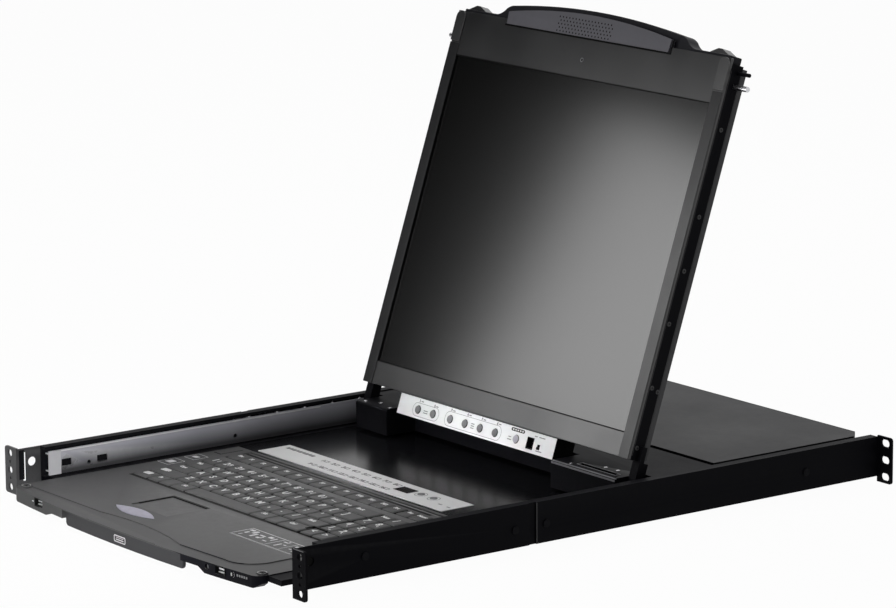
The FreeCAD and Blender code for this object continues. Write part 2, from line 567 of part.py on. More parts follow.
# ---------------------------------------------------------------- ball cages, half as fast as the screen
def make_ball_cages():
    play = S.ball_play * 2
    web_out = CHANNEL_IN - play
    web_in = web_out - S.cage_thick
    strip_in = CHANNEL_EDGE + 0.4
    rows = (RACE_TOP - S.ball_play - S.ball_dia / 2, RACE_LOW + S.ball_play + S.ball_dia / 2)
    front = S.chassis_front + S.slide_travel / 2
    y = (front, S.runner_back - S.slide_travel / 2)
    count = int((y[1] - y[0]).value / S.ball_pitch.value)
    half = S.cage_thick / 2
    cages = []
    for name, side in SIDES:
        parts = [box("cage_web_" + name, both_sides(side, web_in, web_out), y,
                     (rows[1] - half, rows[0] + half))]
        for k, z in enumerate(rows):
            parts.append(box("cage_strip_%s_%d" % (name, k), both_sides(side, strip_in, web_out), y,
                             (z - half, z + half)))
            for i in range(count):
                ball = doc.addObject("Part::Sphere", "ball_%s_%d_%d" % (name, k, i))
                bind(ball, "Radius", S.ball_dia / 2)
                bind(ball, "Placement.Base.x", as_size(side) * ((CHANNEL_EDGE + RACE_EDGE) / 2))
                bind(ball, "Placement.Base.y", front + S.ball_pitch * (i + 0.5))
                bind(ball, "Placement.Base.z", z)
                parts.append(ball)
        cages.append(fuse("ball_cage_" + name, *parts))
    node("ball_cages", group("ball_cage_pair", cages))


# ---------------------------------------------------------------- keyboard module
FASCIA_BACK = S.tray_front + S.fascia_deep
SHELF_TOP = S.tray_top - S.shelf_drop


def make_keyboard_pan():
    """Folded steel tray with a runner down each side."""
    skin, half = S.tray_skin, TRAY_HALF
    front = FASCIA_BACK + 0.3
    block = box("pan_block", (-half, half), (front, TRAY_BACK), (S.tray_low, PLATE_LOW))
    room = box("pan_room", (skin - half, half - skin), (front + skin, TRAY_BACK - skin),
               (S.tray_low + skin, PLATE_LOW + 1))
    shelf = box("pan_shelf", (COVER_RIGHT + 0.5, half), (front, TRAY_BACK), (PLATE_LOW - skin, PLATE_LOW))
    parts = [cut("pan_open", block, room), shelf]
    top, low, out = CHANNEL_LOW - 0.3, FLOOR_TOP + 0.2, WALL_IN - 0.5
    section = [(half, low), (out, low), (out, low + skin), (half + skin, low + skin),
               (half + skin, top - skin), (out, top - skin), (out, top), (half, top)]
    for name, side in SIDES:
        parts.append(padded("keyboard_runner_" + name, "XZ", [(as_size(side) * x, z) for x, z in section],
                            (S.chassis_front + 6, TRAY_BACK)))
    node("keyboard_pan", fuse("keyboard_pan_folded", *parts))


def lens(name, margin, z):
    """The click button's outline: two equal arcs that meet in points."""
    left, right = S.pad_left - 4 - margin, S.pad_right + margin
    middle = (S.click_front + S.click_back) / 2
    return padded(name, "XY", [(left, middle, S.click_bow), (right, middle, S.click_bow)], z)


def strip_button_spots():
    return (("port_button_back", (S.port_button_one, S.port_button_y)),
            ("port_button_next", (S.port_button_two, S.port_button_y)))


def make_palm_cover():
    """Palm rest and fascia in one moulding, with the key well and the pockets of the small controls."""
    left, right, front, bow = COVER_LEFT, COVER_RIGHT, S.tray_front, S.tray_front_bow
    plate = padded("palm_plate", "XY", [(left, front, bow), (right, front), (right, S.palm_back),
                                        (left, S.palm_back)], (PLATE_LOW, S.tray_top))
    skirt = padded("fascia_plan", "XY", [(left, front, bow), (right, front), (right, FASCIA_BACK),
                                         (left, FASCIA_BACK)], (S.fascia_low - 1, S.tray_top))
    for body in (plate, skirt):
        rounded(body, S.front_corner, along("z", lambda c: c.y < front.value + 1))
    edge = PLATE_LOW + 0.4
    near, far = S.handle_left - 1, S.handle_right + 1
    view = padded("fascia_view", "XZ", [
        (left - 1, edge), (left - 1, S.fascia_step), (left + 8, S.fascia_low), (near - 31, S.fascia_low),
        (near - 20, S.fascia_step), (near, S.fascia_step), (near, PLATE_LOW - 0.2), (far, PLATE_LOW - 0.2),
        (far, S.fascia_mid), (far + 25, S.fascia_mid), (far + 34, S.fascia_right_low),
        (right - 6, S.fascia_right_low), (right + 1, S.fascia_mid), (right + 1, edge)],
        (front - 10, FASCIA_BACK + 1))
    moulding = fuse("palm_moulding", plate, common("fascia_solid", skirt, view))
    through = (PLATE_LOW - 1, S.tray_top + 1)
    ahead = front - 10
    tools = [
        box("key_well", (S.well_left, S.well_right), (S.well_front, S.well_back), through),
        box("pad_opening", (S.pad_left, S.pad_right), (S.pad_front, S.pad_back), through),
        lens("click_opening", S.button_play * 2, through),
        rod("reset_bore", "y", (S.reset_x, S.usb_z), S.reset_dia / 2 + S.button_play,
            (ahead, FASCIA_BACK - 2)),
        rod("led_bore", "y", (S.led_x, S.usb_z), S.led_dia / 2, (ahead, FASCIA_BACK - 2)),
        padded("palm_shelf", "XY", [
            (left - 1, ahead), (right + 1, ahead), (right + 1, S.shelf_back), (S.shelf_right, S.shelf_back),
            (S.shelf_right, S.shelf_turn_up, -S.shelf_round), (S.shelf_turn_x, S.shelf_turn_y),
            (S.dip_right, S.dip_right_y, S.dip_round), (S.dip_left, S.dip_left_y), (left - 1, S.dip_left_y)],
            (SHELF_TOP, S.tray_top + 1)),
    ]
    for name, x in (("left", S.usb_left_x), ("right", S.usb_right_x)):
        tools.append(box("usb_pocket_" + name, (x - S.usb_wide / 2, x + S.usb_wide / 2),
                         (ahead, FASCIA_BACK - 1.5), (S.usb_z - S.usb_tall / 2, S.usb_z + S.usb_tall / 2)))
    for name, x in (("left", CATCH_LEFT), ("right", CATCH_RIGHT)):
        side = -1 if name == "left" else 1
        reach = S.catch_stem + S.catch_play
        tools.append(box("catch_slot_" + name, both_ways(x, side, reach, reach + S.catch_travel),
                         (S.catch_y - reach, S.catch_y + reach), through))
    node("palm_cover", cut("palm_cover_cut", moulding, *tools))


def both_ways(x, side, outward, inward):
    """A span about x that reaches further towards the middle of the drawer."""
    return (x - outward, x + inward) if side < 0 else (x - inward, x + outward)


def make_catches():
    """Sliding catches that let the keyboard module go."""
    for name, x, side in (("left", CATCH_LEFT, -1), ("right", CATCH_RIGHT, 1)):
        half = S.catch_wide / 2
        front, back = S.catch_y - S.catch_long / 2 + half, S.catch_y + S.catch_long / 2
        pad = padded("catch_pad_" + name, "XY",
                     [(x - half, front, half * 1.05), (x + half, front), (x + half, back), (x - half, back)],
                     (SHELF_TOP + 0.1, SHELF_TOP + S.catch_thick))
        stem = box("catch_stem_" + name, (x - S.catch_stem, x + S.catch_stem),
                   (S.catch_y - S.catch_stem, S.catch_y + S.catch_stem), (PLATE_LOW - 0.4, SHELF_TOP + 0.5))
        node("keyboard_catch_" + name, fuse("keyboard_catch_%s_whole" % name, pad, stem))


def make_front_controls():
    front = S.tray_front
    face = front - S.handle_back
    handle = padded("handle_bar", "XY", [
        (S.handle_left, face, S.tray_front_bow), (S.handle_right, face),
        (S.handle_right, face + S.handle_deep, -S.tray_front_bow), (S.handle_left, face + S.handle_deep)],
        (S.handle_low, PLATE_LOW - 0.2))
    node("lower_handle", rounded(handle, S.handle_round, along("y", lambda c: c.z < S.handle_low.value + 1)))
    node("front_button", rod("reset_rod", "y", (S.reset_x, S.usb_z), S.reset_dia / 2,
                             (front - S.reset_proud, FASCIA_BACK - 4)))
    led = rod("led_rod", "y", (S.led_x, S.usb_z), S.led_dia / 2 - 0.05, (front - 2.6, FASCIA_BACK - 2))
    digits = box("digit_block", (S.window_left + 0.1, S.window_right - 0.1),
                 (S.window_front + 0.1, S.window_back - 0.1),
                 (PLATE_LOW + 0.8, S.tray_top + S.strip_thick + 0.2))
    node("indicator_lenses", group("led_and_digits", (led, digits)))
    shells = []
    for name, x, lead in (("left", S.usb_left_x, 2.2), ("right", S.usb_right_x, 2.4)):
        w, tall, skin = S.usb_wide / 2 - 0.2, S.usb_tall / 2 - 0.2, 0.5
        shell_y = (front - lead, FASCIA_BACK - 1.6)
        shell = box("usb_shell_" + name, (x - w, x + w), shell_y, (S.usb_z - tall, S.usb_z + tall))
        hole = box("usb_hole_" + name, (x - w + skin, x + w - skin), (shell_y[0] - 1, shell_y[1] - 1),
                   (S.usb_z - tall + skin, S.usb_z + tall - skin))
        shells.append(cut("usb_socket_" + name, shell, hole))
    node("usb_sockets", group("usb_socket_pair", shells))


def make_pointing():
    gap = 0.2
    node("touchpad", box("touchpad_plate", (S.pad_left + gap, S.pad_right - gap),
                         (S.pad_front + gap, S.pad_back - gap), (PLATE_LOW - 1.5, S.tray_top - S.pad_drop)))
    node("click_button", lens("click_lens", as_size(0), (PLATE_LOW - 1, S.tray_top + 0.5)))


def key_spans():
    """Every key as (row name, its x span, its y span)."""
    pitch, half_gap = S.key_pitch, S.key_gap / 2
    for row, (name, units) in enumerate(KEY_ROWS):
        y = S.key_first + pitch * row
        if name == "keys_row_function":
            y = y + S.row_space
        start = 0.0
        for wide in units:
            x = S.well_left + 2.5 + pitch * start
            yield name, (x + half_gap, x + pitch * wide - half_gap), (y + half_gap, y + pitch - half_gap)
            start += wide
        for column in range(SIDE_COLUMNS):
            x = S.side_block + S.side_pitch * column
            yield name, (x + half_gap, x + S.side_pitch - half_gap), (y + half_gap, y + pitch - half_gap)


def make_keys():
    """Hollow key caps over guide posts that stand on the key plate."""
    rows = {}
    low, top = S.key_top - S.key_tall, S.key_top
    wall, post_play = 2.0, 0.3
    plate_top = S.tray_low + S.tray_skin + 1.0
    edge = 0.4
    posts = [box("key_plate_sheet", (S.well_left + edge, S.well_right - edge),
                 (S.well_front + edge, S.well_back - edge), (S.tray_low + S.tray_skin, plate_top))]
    for i, (name, x, y) in enumerate(key_spans()):
        cap = taper("cap_%d" % i, x, y, (low, top), S.key_taper)
        inside = [(span[0] + wall, span[1] - wall) for span in (x, y)]
        room = box("cap_room_%d" % i, inside[0], inside[1], (low - 1, top - 1.0))
        rows.setdefault(name, []).append(cut("key_%d" % i, cap, room))
        post = [(span[0] + post_play, span[1] - post_play) for span in inside]
        posts.append(box("post_%d" % i, post[0], post[1], (plate_top - 0.2, top - 1.0 - S.key_travel - 0.2)))
    for name, caps in rows.items():
        node(name, group(name + "_caps", caps))
    node("key_plate", fuse("key_plate_with_posts", *posts))


def make_rear_plate():
    """Gloss cover behind the keys, with the port strip, its window and its two buttons."""
    plate = box("rear_plate_sheet", (COVER_LEFT, COVER_RIGHT), (S.palm_back + 0.3, TRAY_BACK),
                (PLATE_LOW, S.tray_top))
    strip = box("strip_sheet", (S.strip_left, S.strip_right), (S.strip_front, S.strip_back),
                (S.tray_top, S.tray_top + S.strip_thick))
    window_x, window_y = (S.window_left, S.window_right), (S.window_front, S.window_back)
    for name, sheet in (("rear_plate", plate), ("port_strip", strip)):
        bores = [rod("%s_%s" % (name, button), "z", spot, S.port_button_dia / 2 + S.button_play,
                     (PLATE_LOW - 1, S.tray_top + 2)) for button, spot in strip_button_spots()]
        opening = box(name + "_window", window_x, window_y, (PLATE_LOW + 0.8, S.tray_top + 2))
        node(name, cut(name + "_cut", sheet, opening, *bores))
    for name, spot in strip_button_spots():
        node(name, rod(name + "_rod", "z", spot, S.port_button_dia / 2, (PLATE_LOW - 0.5, S.tray_top + 1.6)))


# ---------------------------------------------------------------- screen carriage
def make_carriage_rails():
    """Inner slide members: a web towards the keyboard and two flanges that run on the balls."""
    web = S.runner_web
    upper, lower = RACE_TOP - BALL_ROOM, RACE_LOW + BALL_ROOM
    section = [(RUNNER_IN, S.runner_low), (RUNNER_OUT, S.runner_low), (RUNNER_OUT, lower), (RACE_EDGE, lower),
               (RACE_EDGE, lower + web), (RUNNER_OUT, lower + web), (RUNNER_OUT, upper - web),
               (RACE_EDGE, upper - web), (RACE_EDGE, upper), (RUNNER_OUT, upper), (RUNNER_OUT, S.runner_top),
               (RUNNER_IN, S.runner_top)]
    for name, side in SIDES:
        rail = fuse("rail_" + name + "_solid",
                    padded("rail_" + name, "XZ", [(as_size(side) * x, z) for x, z in section],
                           (S.runner_front, S.runner_back)),
                    box("rail_end_" + name, both_sides(side, RUNNER_IN - S.runner_end_thick, RUNNER_IN + 0.2),
                        (S.runner_front, S.runner_end), (S.runner_low, S.runner_top)))
        x = both_sides(side, RUNNER_IN - 1, RUNNER_OUT + 0.2)
        tools = [box("rail_window_%s_%d" % (name, i), x, (as_size(y0), as_size(y1)),
                     (as_size(z0), as_size(z1))) for i, (y0, y1, z0, z1) in enumerate(RAIL_WINDOWS)]
        tools += [rod("rail_hole_%s_%d" % (name, i), "x", (as_size(y), as_size(z)), 2.0, x)
                  for i, (y, z) in enumerate(RAIL_HOLES)]
        node("carriage_rail_" + name, cut("carriage_rail_%s_cut" % name, rail, *tools))


def make_deck():
    """Folded cover between the rails, open in front for the screen's control housing."""
    skin, half = S.deck_sheet, RUNNER_IN - 0.1
    low, top = S.deck_low, S.deck_top
    arm = ARM_IN - S.side_play
    plan = [(-arm, DECK_FRONT), (S.recess_left, DECK_FRONT), (S.recess_left, RECESS_BACK),
            (S.recess_right, RECESS_BACK), (S.recess_right, DECK_FRONT), (arm, DECK_FRONT),
            (arm, NOTCH_BACK), (half, NOTCH_BACK), (half, DECK_BACK), (-half, DECK_BACK),
            (-half, NOTCH_BACK), (-arm, NOTCH_BACK)]
    inner = [(skin - arm, DECK_FRONT + skin), (S.recess_left - skin, DECK_FRONT + skin),
             (S.recess_left - skin, RECESS_BACK + skin), (S.recess_right + skin, RECESS_BACK + skin),
             (S.recess_right + skin, DECK_FRONT + skin), (arm - skin, DECK_FRONT + skin),
             (arm - skin, NOTCH_BACK + skin), (half - skin, NOTCH_BACK + skin),
             (half - skin, DECK_BACK - skin), (skin - half, DECK_BACK - skin),
             (skin - half, NOTCH_BACK + skin), (skin - arm, NOTCH_BACK + skin)]
    outer = rounded(padded("deck_outer", "XY", plan, (low, top)), S.deck_round,
                    along("x", lambda c: c.y < DECK_FRONT.value + 1 and c.z > top.value - 1))
    shell = cut("deck_shell", outer, padded("deck_inner", "XY", inner, (low - 1, top - skin)))
    tools = [rod("deck_pin_room_" + name, "x", (PIVOT_Y, S.pivot_z), S.pivot_pin_dia / 2 + S.pivot_play,
                 both_sides(side, arm - 3, arm + 3)) for name, side in SIDES]
    slot_x, slot_y = arm - S.deck_slot_in, PIVOT_Y - S.deck_slot_ahead
    tools.append(box("deck_slot", (slot_x - S.deck_slot_long, slot_x),
                     (slot_y - S.deck_slot_wide / 2, slot_y + S.deck_slot_wide / 2),
                     (top - skin - 1, top + 1)))
    node("carriage_deck", cut("carriage_deck_cut", shell, *tools))


def make_hinge_brackets():
    """Blocks inside the pedestals that carry the hinge pins."""
    brackets = []
    for name, side in SIDES:
        near = ARM_IN - S.side_play - S.deck_sheet
        block = box("bracket_block_" + name, both_sides(side, near - S.bracket_thick, near),
                    (DECK_FRONT + S.deck_sheet + 0.1, NOTCH_BACK + 6),
                    (S.deck_low + 1, S.deck_top - S.deck_sheet))
        pin = rod("hinge_pin_" + name, "x", (PIVOT_Y, S.pivot_z), S.pivot_pin_dia / 2,
                  both_sides(side, near - 1, ARM_IN + S.arm_wide + 1.5))
        brackets.append(fuse("hinge_bracket_" + name, block, pin))
    node("hinge_brackets", group("hinge_bracket_pair", brackets))


# ---------------------------------------------------------------- screen panel, leaning open
def lean_back(thing):
    """Stands a part drawn in the panel's own plane on the hinge, at the opening angle."""
    up_y, up_z = trig("sin", S.lean), trig("cos", S.lean)
    thing.Placement = FreeCAD.Placement(V(), FreeCAD.Rotation(V(1, 0, 0), 90 - S.lean.value))
    bind(thing, "Placement.Rotation.Angle", 90 - S.lean)
    bind(thing, "Placement.Base.y", PIVOT_Y - S.pivot_up * up_y + S.pivot_out * up_z)
    bind(thing, "Placement.Base.z", S.pivot_z - S.pivot_up * up_z - S.pivot_out * up_y)
    return thing


def panel_node(name, thing):
    return node(name, lean_back(group(name + "_held", [thing])))


def make_panel_shells():
    half, wall, deep = PANEL_HALF, S.frame_wall, S.frame_back
    tall = S.frame_tall
    ring = cut("frame_ring", box("frame_outer", (-half, half), (as_size(0), tall), (-deep, -S.bezel_thick)),
               box("frame_inner", (wall - half, half - wall), (wall, tall - wall),
                   (-deep - 1, 1 - S.bezel_thick)),
               *[rod("lock_bore_" + name, "x", (LOCK_UP, LOCK_OUT), S.lock_pin_dia / 2 + 0.3,
                     both_sides(side, half - wall - 1, half + 1)) for name, side in SIDES],
               *[knob_slot("frame_slot_" + name, side, tall - wall - 1, tall + 1) for name, side in SIDES])
    studs = [rod("guide_stud_" + name, "x", (PANEL_TALL - S.stud_drop, S.stud_out), S.stud_dia / 2,
                 both_sides(side, half - wall, S.chassis_half - S.stud_short)) for name, side in SIDES]
    panel_node("screen_frame", fuse("screen_frame_whole", ring, *studs))

    edge, skin = S.back_inset, S.back_skin
    back = cut("back_shell",
               box("back_outer", (edge - half, half - edge), (edge, tall - edge), (-S.panel_deep, -deep)),
               box("back_inner", (edge + skin - half, half - edge - skin), (edge + skin, tall - edge - skin),
                   (skin - S.panel_deep, 1 - deep)))
    panel_node("screen_back_cover", back)

    face = half - 0.2
    bezel = padded("bezel_plate", "XY", [(-face, as_size(0)), (face, as_size(0)), (face, PANEL_TALL),
                                         (-face, PANEL_TALL)], (-S.bezel_thick, as_size(0)))
    opening = box("bezel_opening", (-SCREEN_HALF, SCREEN_HALF),
                  (S.screen_up, S.screen_up + SCREEN_TALL), (-S.bezel_thick - 1, as_size(1)))
    panel_node("screen_bezel", cut("bezel_cut", bezel, opening))
    gap = 0.2
    panel_node("lcd_screen", box("lcd_slab", (gap - SCREEN_HALF, SCREEN_HALF - gap),
                                 (S.screen_up + gap, S.screen_up + SCREEN_TALL - gap),
                                 (-S.screen_drop - S.screen_thick, -S.screen_drop)))


def knob_span(side, outward, inward):
    return both_ways(as_size(side) * KNOB_X, side, as_size(outward), as_size(inward))


def knob_slot(name, side, low, high):
    """Room for a release knob's stem and its travel."""
    gap = S.knob_gap
    return box(name, knob_span(side, S.stem_half + gap, S.knob_travel + S.stem_half + gap), (low, high),
               (S.stem_low - gap, S.stem_high + gap))


def make_side_trim():
    """Grey strips down both sides and the caps on the upper corners."""
    half, cap_low = PANEL_HALF, PANEL_TALL - S.cap_tall
    strips, caps = [], []
    for name, side in SIDES:
        x = both_sides(side, half - S.strip_wide, half)
        strips.append(box("side_strip_" + name, x, (as_size(0), cap_low - S.cap_gap),
                          (as_size(0), S.strip_proud)))
        cap = padded("corner_cap_" + name, "XY", [(x[i], y) for i, y in ((0, cap_low), (1, cap_low),
                                                  (1, PANEL_TALL), (0, PANEL_TALL))],
                     (as_size(0), S.cap_proud))
        caps.append(rounded(cap, S.cap_round, along("z", lambda c: c.y > PANEL_TALL.value - 1)))
    panel_node("side_trim", group("strips_and_caps", strips + caps))


def make_upper_handle():
    """A bowed hand grip over the top edge: a dark body with long shoulders and a lighter cover in front."""
    left, right = S.grip_in_left - PANEL_HALF, PANEL_HALF - S.grip_in_right
    low, side_top = PANEL_TALL - S.grip_drop, PANEL_TALL + S.grip_rise
    half, base, turn = PANEL_HALF - S.base_inset, HANDLE_BASE, S.shoulder_round
    high, rim_side = PANEL_TALL + S.shoulder_rise, PANEL_TALL + S.rim_rise
    body = padded("handle_body", "XY", [
        (-half, S.frame_tall), (half, S.frame_tall), (half, base), (right + S.shoulder_right, base, -turn),
        (right + S.shoulder_right * S.shoulder_share, high, turn), (right + S.rim, rim_side, S.rim_radius),
        (left - S.rim, rim_side, turn), (left - S.shoulder_left * S.shoulder_share, high, -turn),
        (left - S.shoulder_left, base), (-half, base)],
        (-S.handle_thick, -S.bezel_thick))
    room = box("handle_hollow", (left, right), (S.frame_tall - 1, (PANEL_TALL + S.handle_room)),
               (-S.handle_thick - 1, -S.bezel_thick - S.handle_skin))
    slots = [knob_slot("strip_slot_" + name, side, S.frame_tall - 1, base + 1) for name, side in SIDES]
    panel_node("upper_handle", cut("upper_handle_cut", body, room, *slots))
    inset = S.grip_inset
    grip = padded("grip_plate", "XY", [(left + inset, low), (right - inset, low),
                                       (right, side_top, S.grip_radius), (left, side_top)],
                  (as_size(0), S.grip_proud))
    lug_low = PANEL_TALL + S.lug_gap
    lug = padded("grip_lug", "XY", [(left, lug_low), (right, lug_low), (right, side_top, S.grip_radius),
                                    (left, side_top)], (-S.bezel_thick, as_size(0.1)))
    panel_node("handle_grip", fuse("handle_grip_whole", grip, lug))


def make_locks():
    """Each release knob, its sliding plate and its locking pin are one assembly that moves inwards."""
    inner_top = S.frame_tall - S.frame_wall
    knob_base = HANDLE_BASE + S.knob_gap
    for name, side in SIDES:
        middle = as_size(side) * KNOB_X
        knob = padded("knob_" + name, "XY", [
            (middle - S.knob_wide / 2, knob_base), (middle + S.knob_wide / 2, knob_base),
            (middle + S.knob_flat / 2, knob_base + S.knob_tall),
            (middle - S.knob_flat / 2, knob_base + S.knob_tall)], (S.knob_low, S.knob_high))
        stem = box("knob_stem_" + name, knob_span(side, S.stem_half, S.stem_half),
                   (inner_top - 8, knob_base + 0.5), (S.stem_low, S.stem_high))
        plate = box("knob_plate_" + name, knob_span(side, 14, S.stem_half), (LOCK_UP - 4, inner_top - 0.5),
                    (S.stem_low - 2.5, S.stem_low + 1))
        pin = rod("lock_pin_" + name, "x", (LOCK_UP, LOCK_OUT), S.lock_pin_dia / 2,
                  both_sides(side, KNOB_X + 6, S.chassis_half - S.lock_pin_short))
        panel_node("screen_catch_" + name, fuse("screen_catch_%s_whole" % name, knob, stem, plate, pin))


def make_control_housing():
    """The box under the screen with its white label, buttons, port and small switch."""
    x = (S.control_left, S.control_right)
    low, top, deep, slant = S.control_low, -S.control_gap, -S.control_deep, S.control_slant
    face = as_size(0)
    body = padded("control_box", "YZ", [(low, face), (low, slant + deep), (low + slant, deep), (top, deep),
                                        (top, face)], x)
    spots = [(name, as_size(at)) for name, at in OSD_BUTTONS]
    port_x, switch_x, mid = S.upgrade_port_x, S.upgrade_switch_x, S.osd_button_up
    wide, tall, wall, play = S.port_half, S.port_rise, S.port_wall, S.port_play
    room, nub, nub_low = S.port_room, S.nub_half, mid - S.nub_drop
    nub_high = nub_low + S.nub_tall
    tools = [rod("osd_bore_" + name, "z", (at, mid), S.osd_button_dia / 2 + S.button_play,
                 (-S.osd_bore_deep, face + 1)) for name, at in spots]
    tools.append(box("port_bay", (port_x - wide - play, port_x + wide + play),
                     (mid - tall - play, mid + tall + play), (-room, face + 1)))
    tools.append(box("switch_slot", (switch_x - nub - play, switch_x + nub + play),
                     (nub_low - play, nub_high + S.nub_travel + play), (-S.nub_deep - play, face + 1)))
    panel_node("control_housing", cut("control_housing_cut", body, *tools))
    for name, at in spots:
        panel_node("osd_button_" + name, rod("osd_rod_" + name, "z", (at, mid), S.osd_button_dia / 2,
                                             (-S.osd_button_deep, S.osd_button_proud)))
    shell = box("port_case", (port_x - wide, port_x + wide), (mid - tall, mid + tall),
                (play - room, face + play))
    mouth = box("port_mouth", (port_x - wide + wall, port_x + wide - wall),
                (mid - tall + wall, mid + tall - wall), (play - room + wall, face + 1))
    panel_node("upgrade_port", cut("upgrade_port_cut", shell, mouth))
    panel_node("upgrade_switch", box("switch_nub", (switch_x - nub, switch_x + nub), (nub_low, nub_high),
                                     (-S.nub_deep, S.nub_proud)))


def make_hinge_arms():
    """Arms under the frame's lower corners, bored for the hinge pins."""
    arms = []
    radius = S.barrel_dia / 2
    for name, side in SIDES:
        x = both_sides(side, ARM_IN, ARM_IN + S.arm_wide)
        barrel = rod("arm_barrel_" + name, "x", (S.pivot_up, S.pivot_out), radius, x)
        neck = box("arm_neck_" + name, x, (S.pivot_up, as_size(-0.3)), (S.pivot_out - 5, S.pivot_out + 5.4))
        foot = box("arm_foot_" + name, both_sides(side, PANEL_HALF + 0.1, ARM_IN + S.arm_wide),
                   (as_size(-0.4), as_size(14)), (S.pivot_out + 0.2, S.pivot_out + 5.4))
        bore = rod("arm_bore_" + name, "x", (S.pivot_up, S.pivot_out), S.pivot_pin_dia / 2 + S.pivot_play,
                   (x[0] - 1, x[1] + 1))
        arms.append(cut("hinge_arm_" + name, fuse("arm_solid_" + name, barrel, neck, foot), bore))
    panel_node("hinge_arms", group("hinge_arm_pair", arms))


# ---------------------------------------------------------------- build, test and write
for make in (make_chassis_shell, make_rack_brackets, make_bracket_screws, make_slide_channels,
             make_rear_housing, make_ball_cages, make_keyboard_pan, make_palm_cover, make_catches,
             make_front_controls,
             make_pointing, make_keys, make_rear_plate, make_carriage_rails, make_deck, make_hinge_brackets,
             make_panel_shells, make_side_trim, make_upper_handle, make_locks, make_control_housing,
             make_hinge_arms):
    make()
doc.recompute()

for thing in doc.Objects:
    if "Invalid" in thing.State or "Error" in thing.State:
        raise RuntimeError("%s did not build: %s" % (thing.Name, thing.State))
for name, thing in nodes.items():
    if thing.Shape.isNull() or not thing.Shape.isValid() or not thing.Shape.Solids:
        raise RuntimeError("%s has no sound solid" % name)

os.makedirs("parts", exist_ok=True)
for name, thing in nodes.items():
    thing.Shape.exportStep("parts/%s.step" % name)
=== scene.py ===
"""Looks for the rackmount LCD console drawer, around its CAD frame.

Finishes, rounded sheet and mouldings, keycaps, print, small fittings and the studio. x runs to
the right, y to the back and z up. Spots and sizes on the object are in millimetres; names that
end in _M, and the spots of lamps, flag and camera, are in metres.
"""
import json
import math

import bmesh
import bpy
from mathutils import Matrix, Vector
from mathutils.bvhtree import BVHTree


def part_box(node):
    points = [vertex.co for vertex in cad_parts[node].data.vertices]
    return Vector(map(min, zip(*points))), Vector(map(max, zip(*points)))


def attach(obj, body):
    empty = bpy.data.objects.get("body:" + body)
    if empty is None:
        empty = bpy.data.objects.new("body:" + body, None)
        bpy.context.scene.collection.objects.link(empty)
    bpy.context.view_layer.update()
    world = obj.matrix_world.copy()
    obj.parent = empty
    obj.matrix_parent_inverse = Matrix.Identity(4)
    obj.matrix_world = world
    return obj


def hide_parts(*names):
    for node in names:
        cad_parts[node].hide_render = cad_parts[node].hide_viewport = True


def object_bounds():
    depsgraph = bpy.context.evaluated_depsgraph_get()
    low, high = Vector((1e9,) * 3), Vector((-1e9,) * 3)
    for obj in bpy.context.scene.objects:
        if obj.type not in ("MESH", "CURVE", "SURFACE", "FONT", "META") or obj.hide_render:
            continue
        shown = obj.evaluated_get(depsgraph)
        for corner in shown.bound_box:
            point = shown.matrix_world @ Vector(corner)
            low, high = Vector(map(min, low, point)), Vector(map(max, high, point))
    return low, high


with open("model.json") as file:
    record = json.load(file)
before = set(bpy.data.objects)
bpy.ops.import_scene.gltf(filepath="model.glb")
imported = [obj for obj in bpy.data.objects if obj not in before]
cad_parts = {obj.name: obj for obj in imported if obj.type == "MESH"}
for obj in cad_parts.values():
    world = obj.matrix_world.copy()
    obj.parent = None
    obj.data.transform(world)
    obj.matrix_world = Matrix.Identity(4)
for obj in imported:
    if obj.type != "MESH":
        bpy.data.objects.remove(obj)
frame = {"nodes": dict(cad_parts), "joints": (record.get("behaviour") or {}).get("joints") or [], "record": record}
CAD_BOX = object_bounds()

MM = 0.001
HINGE = next(j for j in frame["joints"] if j["name"] == "screen_hinge")
LEAN = math.radians(HINGE["range_deg"][1] - 90)


# ---------------------------------------------------------------- places
def body_of_node(node):
    """The body that a CAD node rides on."""
    bodies = frame["record"]["behaviour"]["bodies"]
    return next(body for body, members in bodies.items() if node in members)


def slot_of_node(node):
    return next(s["material_slot"] for s in frame["record"]["subparts"] if s["node"] == node)


# The leaning screen has its own axes: across, up along the panel, and out of its front face.
ACROSS = Vector((1, 0, 0))
UP = Vector((0, math.sin(LEAN), math.cos(LEAN)))
OUT = Vector((0, -math.cos(LEAN), math.sin(LEAN)))
TILTED = Matrix((ACROSS, UP, OUT)).transposed()
LEVEL = Matrix.Identity(3)

# Flat places to work on: across, along, and out of the surface.
FLAT = Matrix.Identity(4)
FOOT_UP, FOOT_OUT = 22.5, 14.8  # from the hinge to the lower edge of the panel's front
FOOT_M = Vector(HINGE["pos_m"]) + UP * FOOT_UP * MM + OUT * FOOT_OUT * MM
PANEL = Matrix.Translation(FOOT_M) @ TILTED.to_4x4()
TO_PANEL = PANEL.inverted()


def facing(right, above, spot=(0, 0, 0)):
    """Frame of a surface seen square on, from its rightward and upward directions."""
    right, above = Vector(right), Vector(above)
    turn = Matrix((right, above, right.cross(above))).transposed()
    return Matrix.Translation(Vector(spot)) @ turn.to_4x4()


FRONT = facing((1, 0, 0), (0, 0, 1))
REAR = facing((-1, 0, 0), (0, 0, 1))
FROM_LEFT_IN = facing((0, 1, 0), (0, 0, 1))
FROM_RIGHT_IN = facing((0, -1, 0), (0, 0, 1))
PANEL_RIGHT_SIDE = facing(UP, OUT, PANEL.translation)
PANEL_LEFT_SIDE = facing(OUT, UP, PANEL.translation)
PANEL_BACK = PANEL @ Matrix(((-1, 0, 0, 0), (0, 1, 0, 0), (0, 0, -1, 0), (0, 0, 0, 1)))


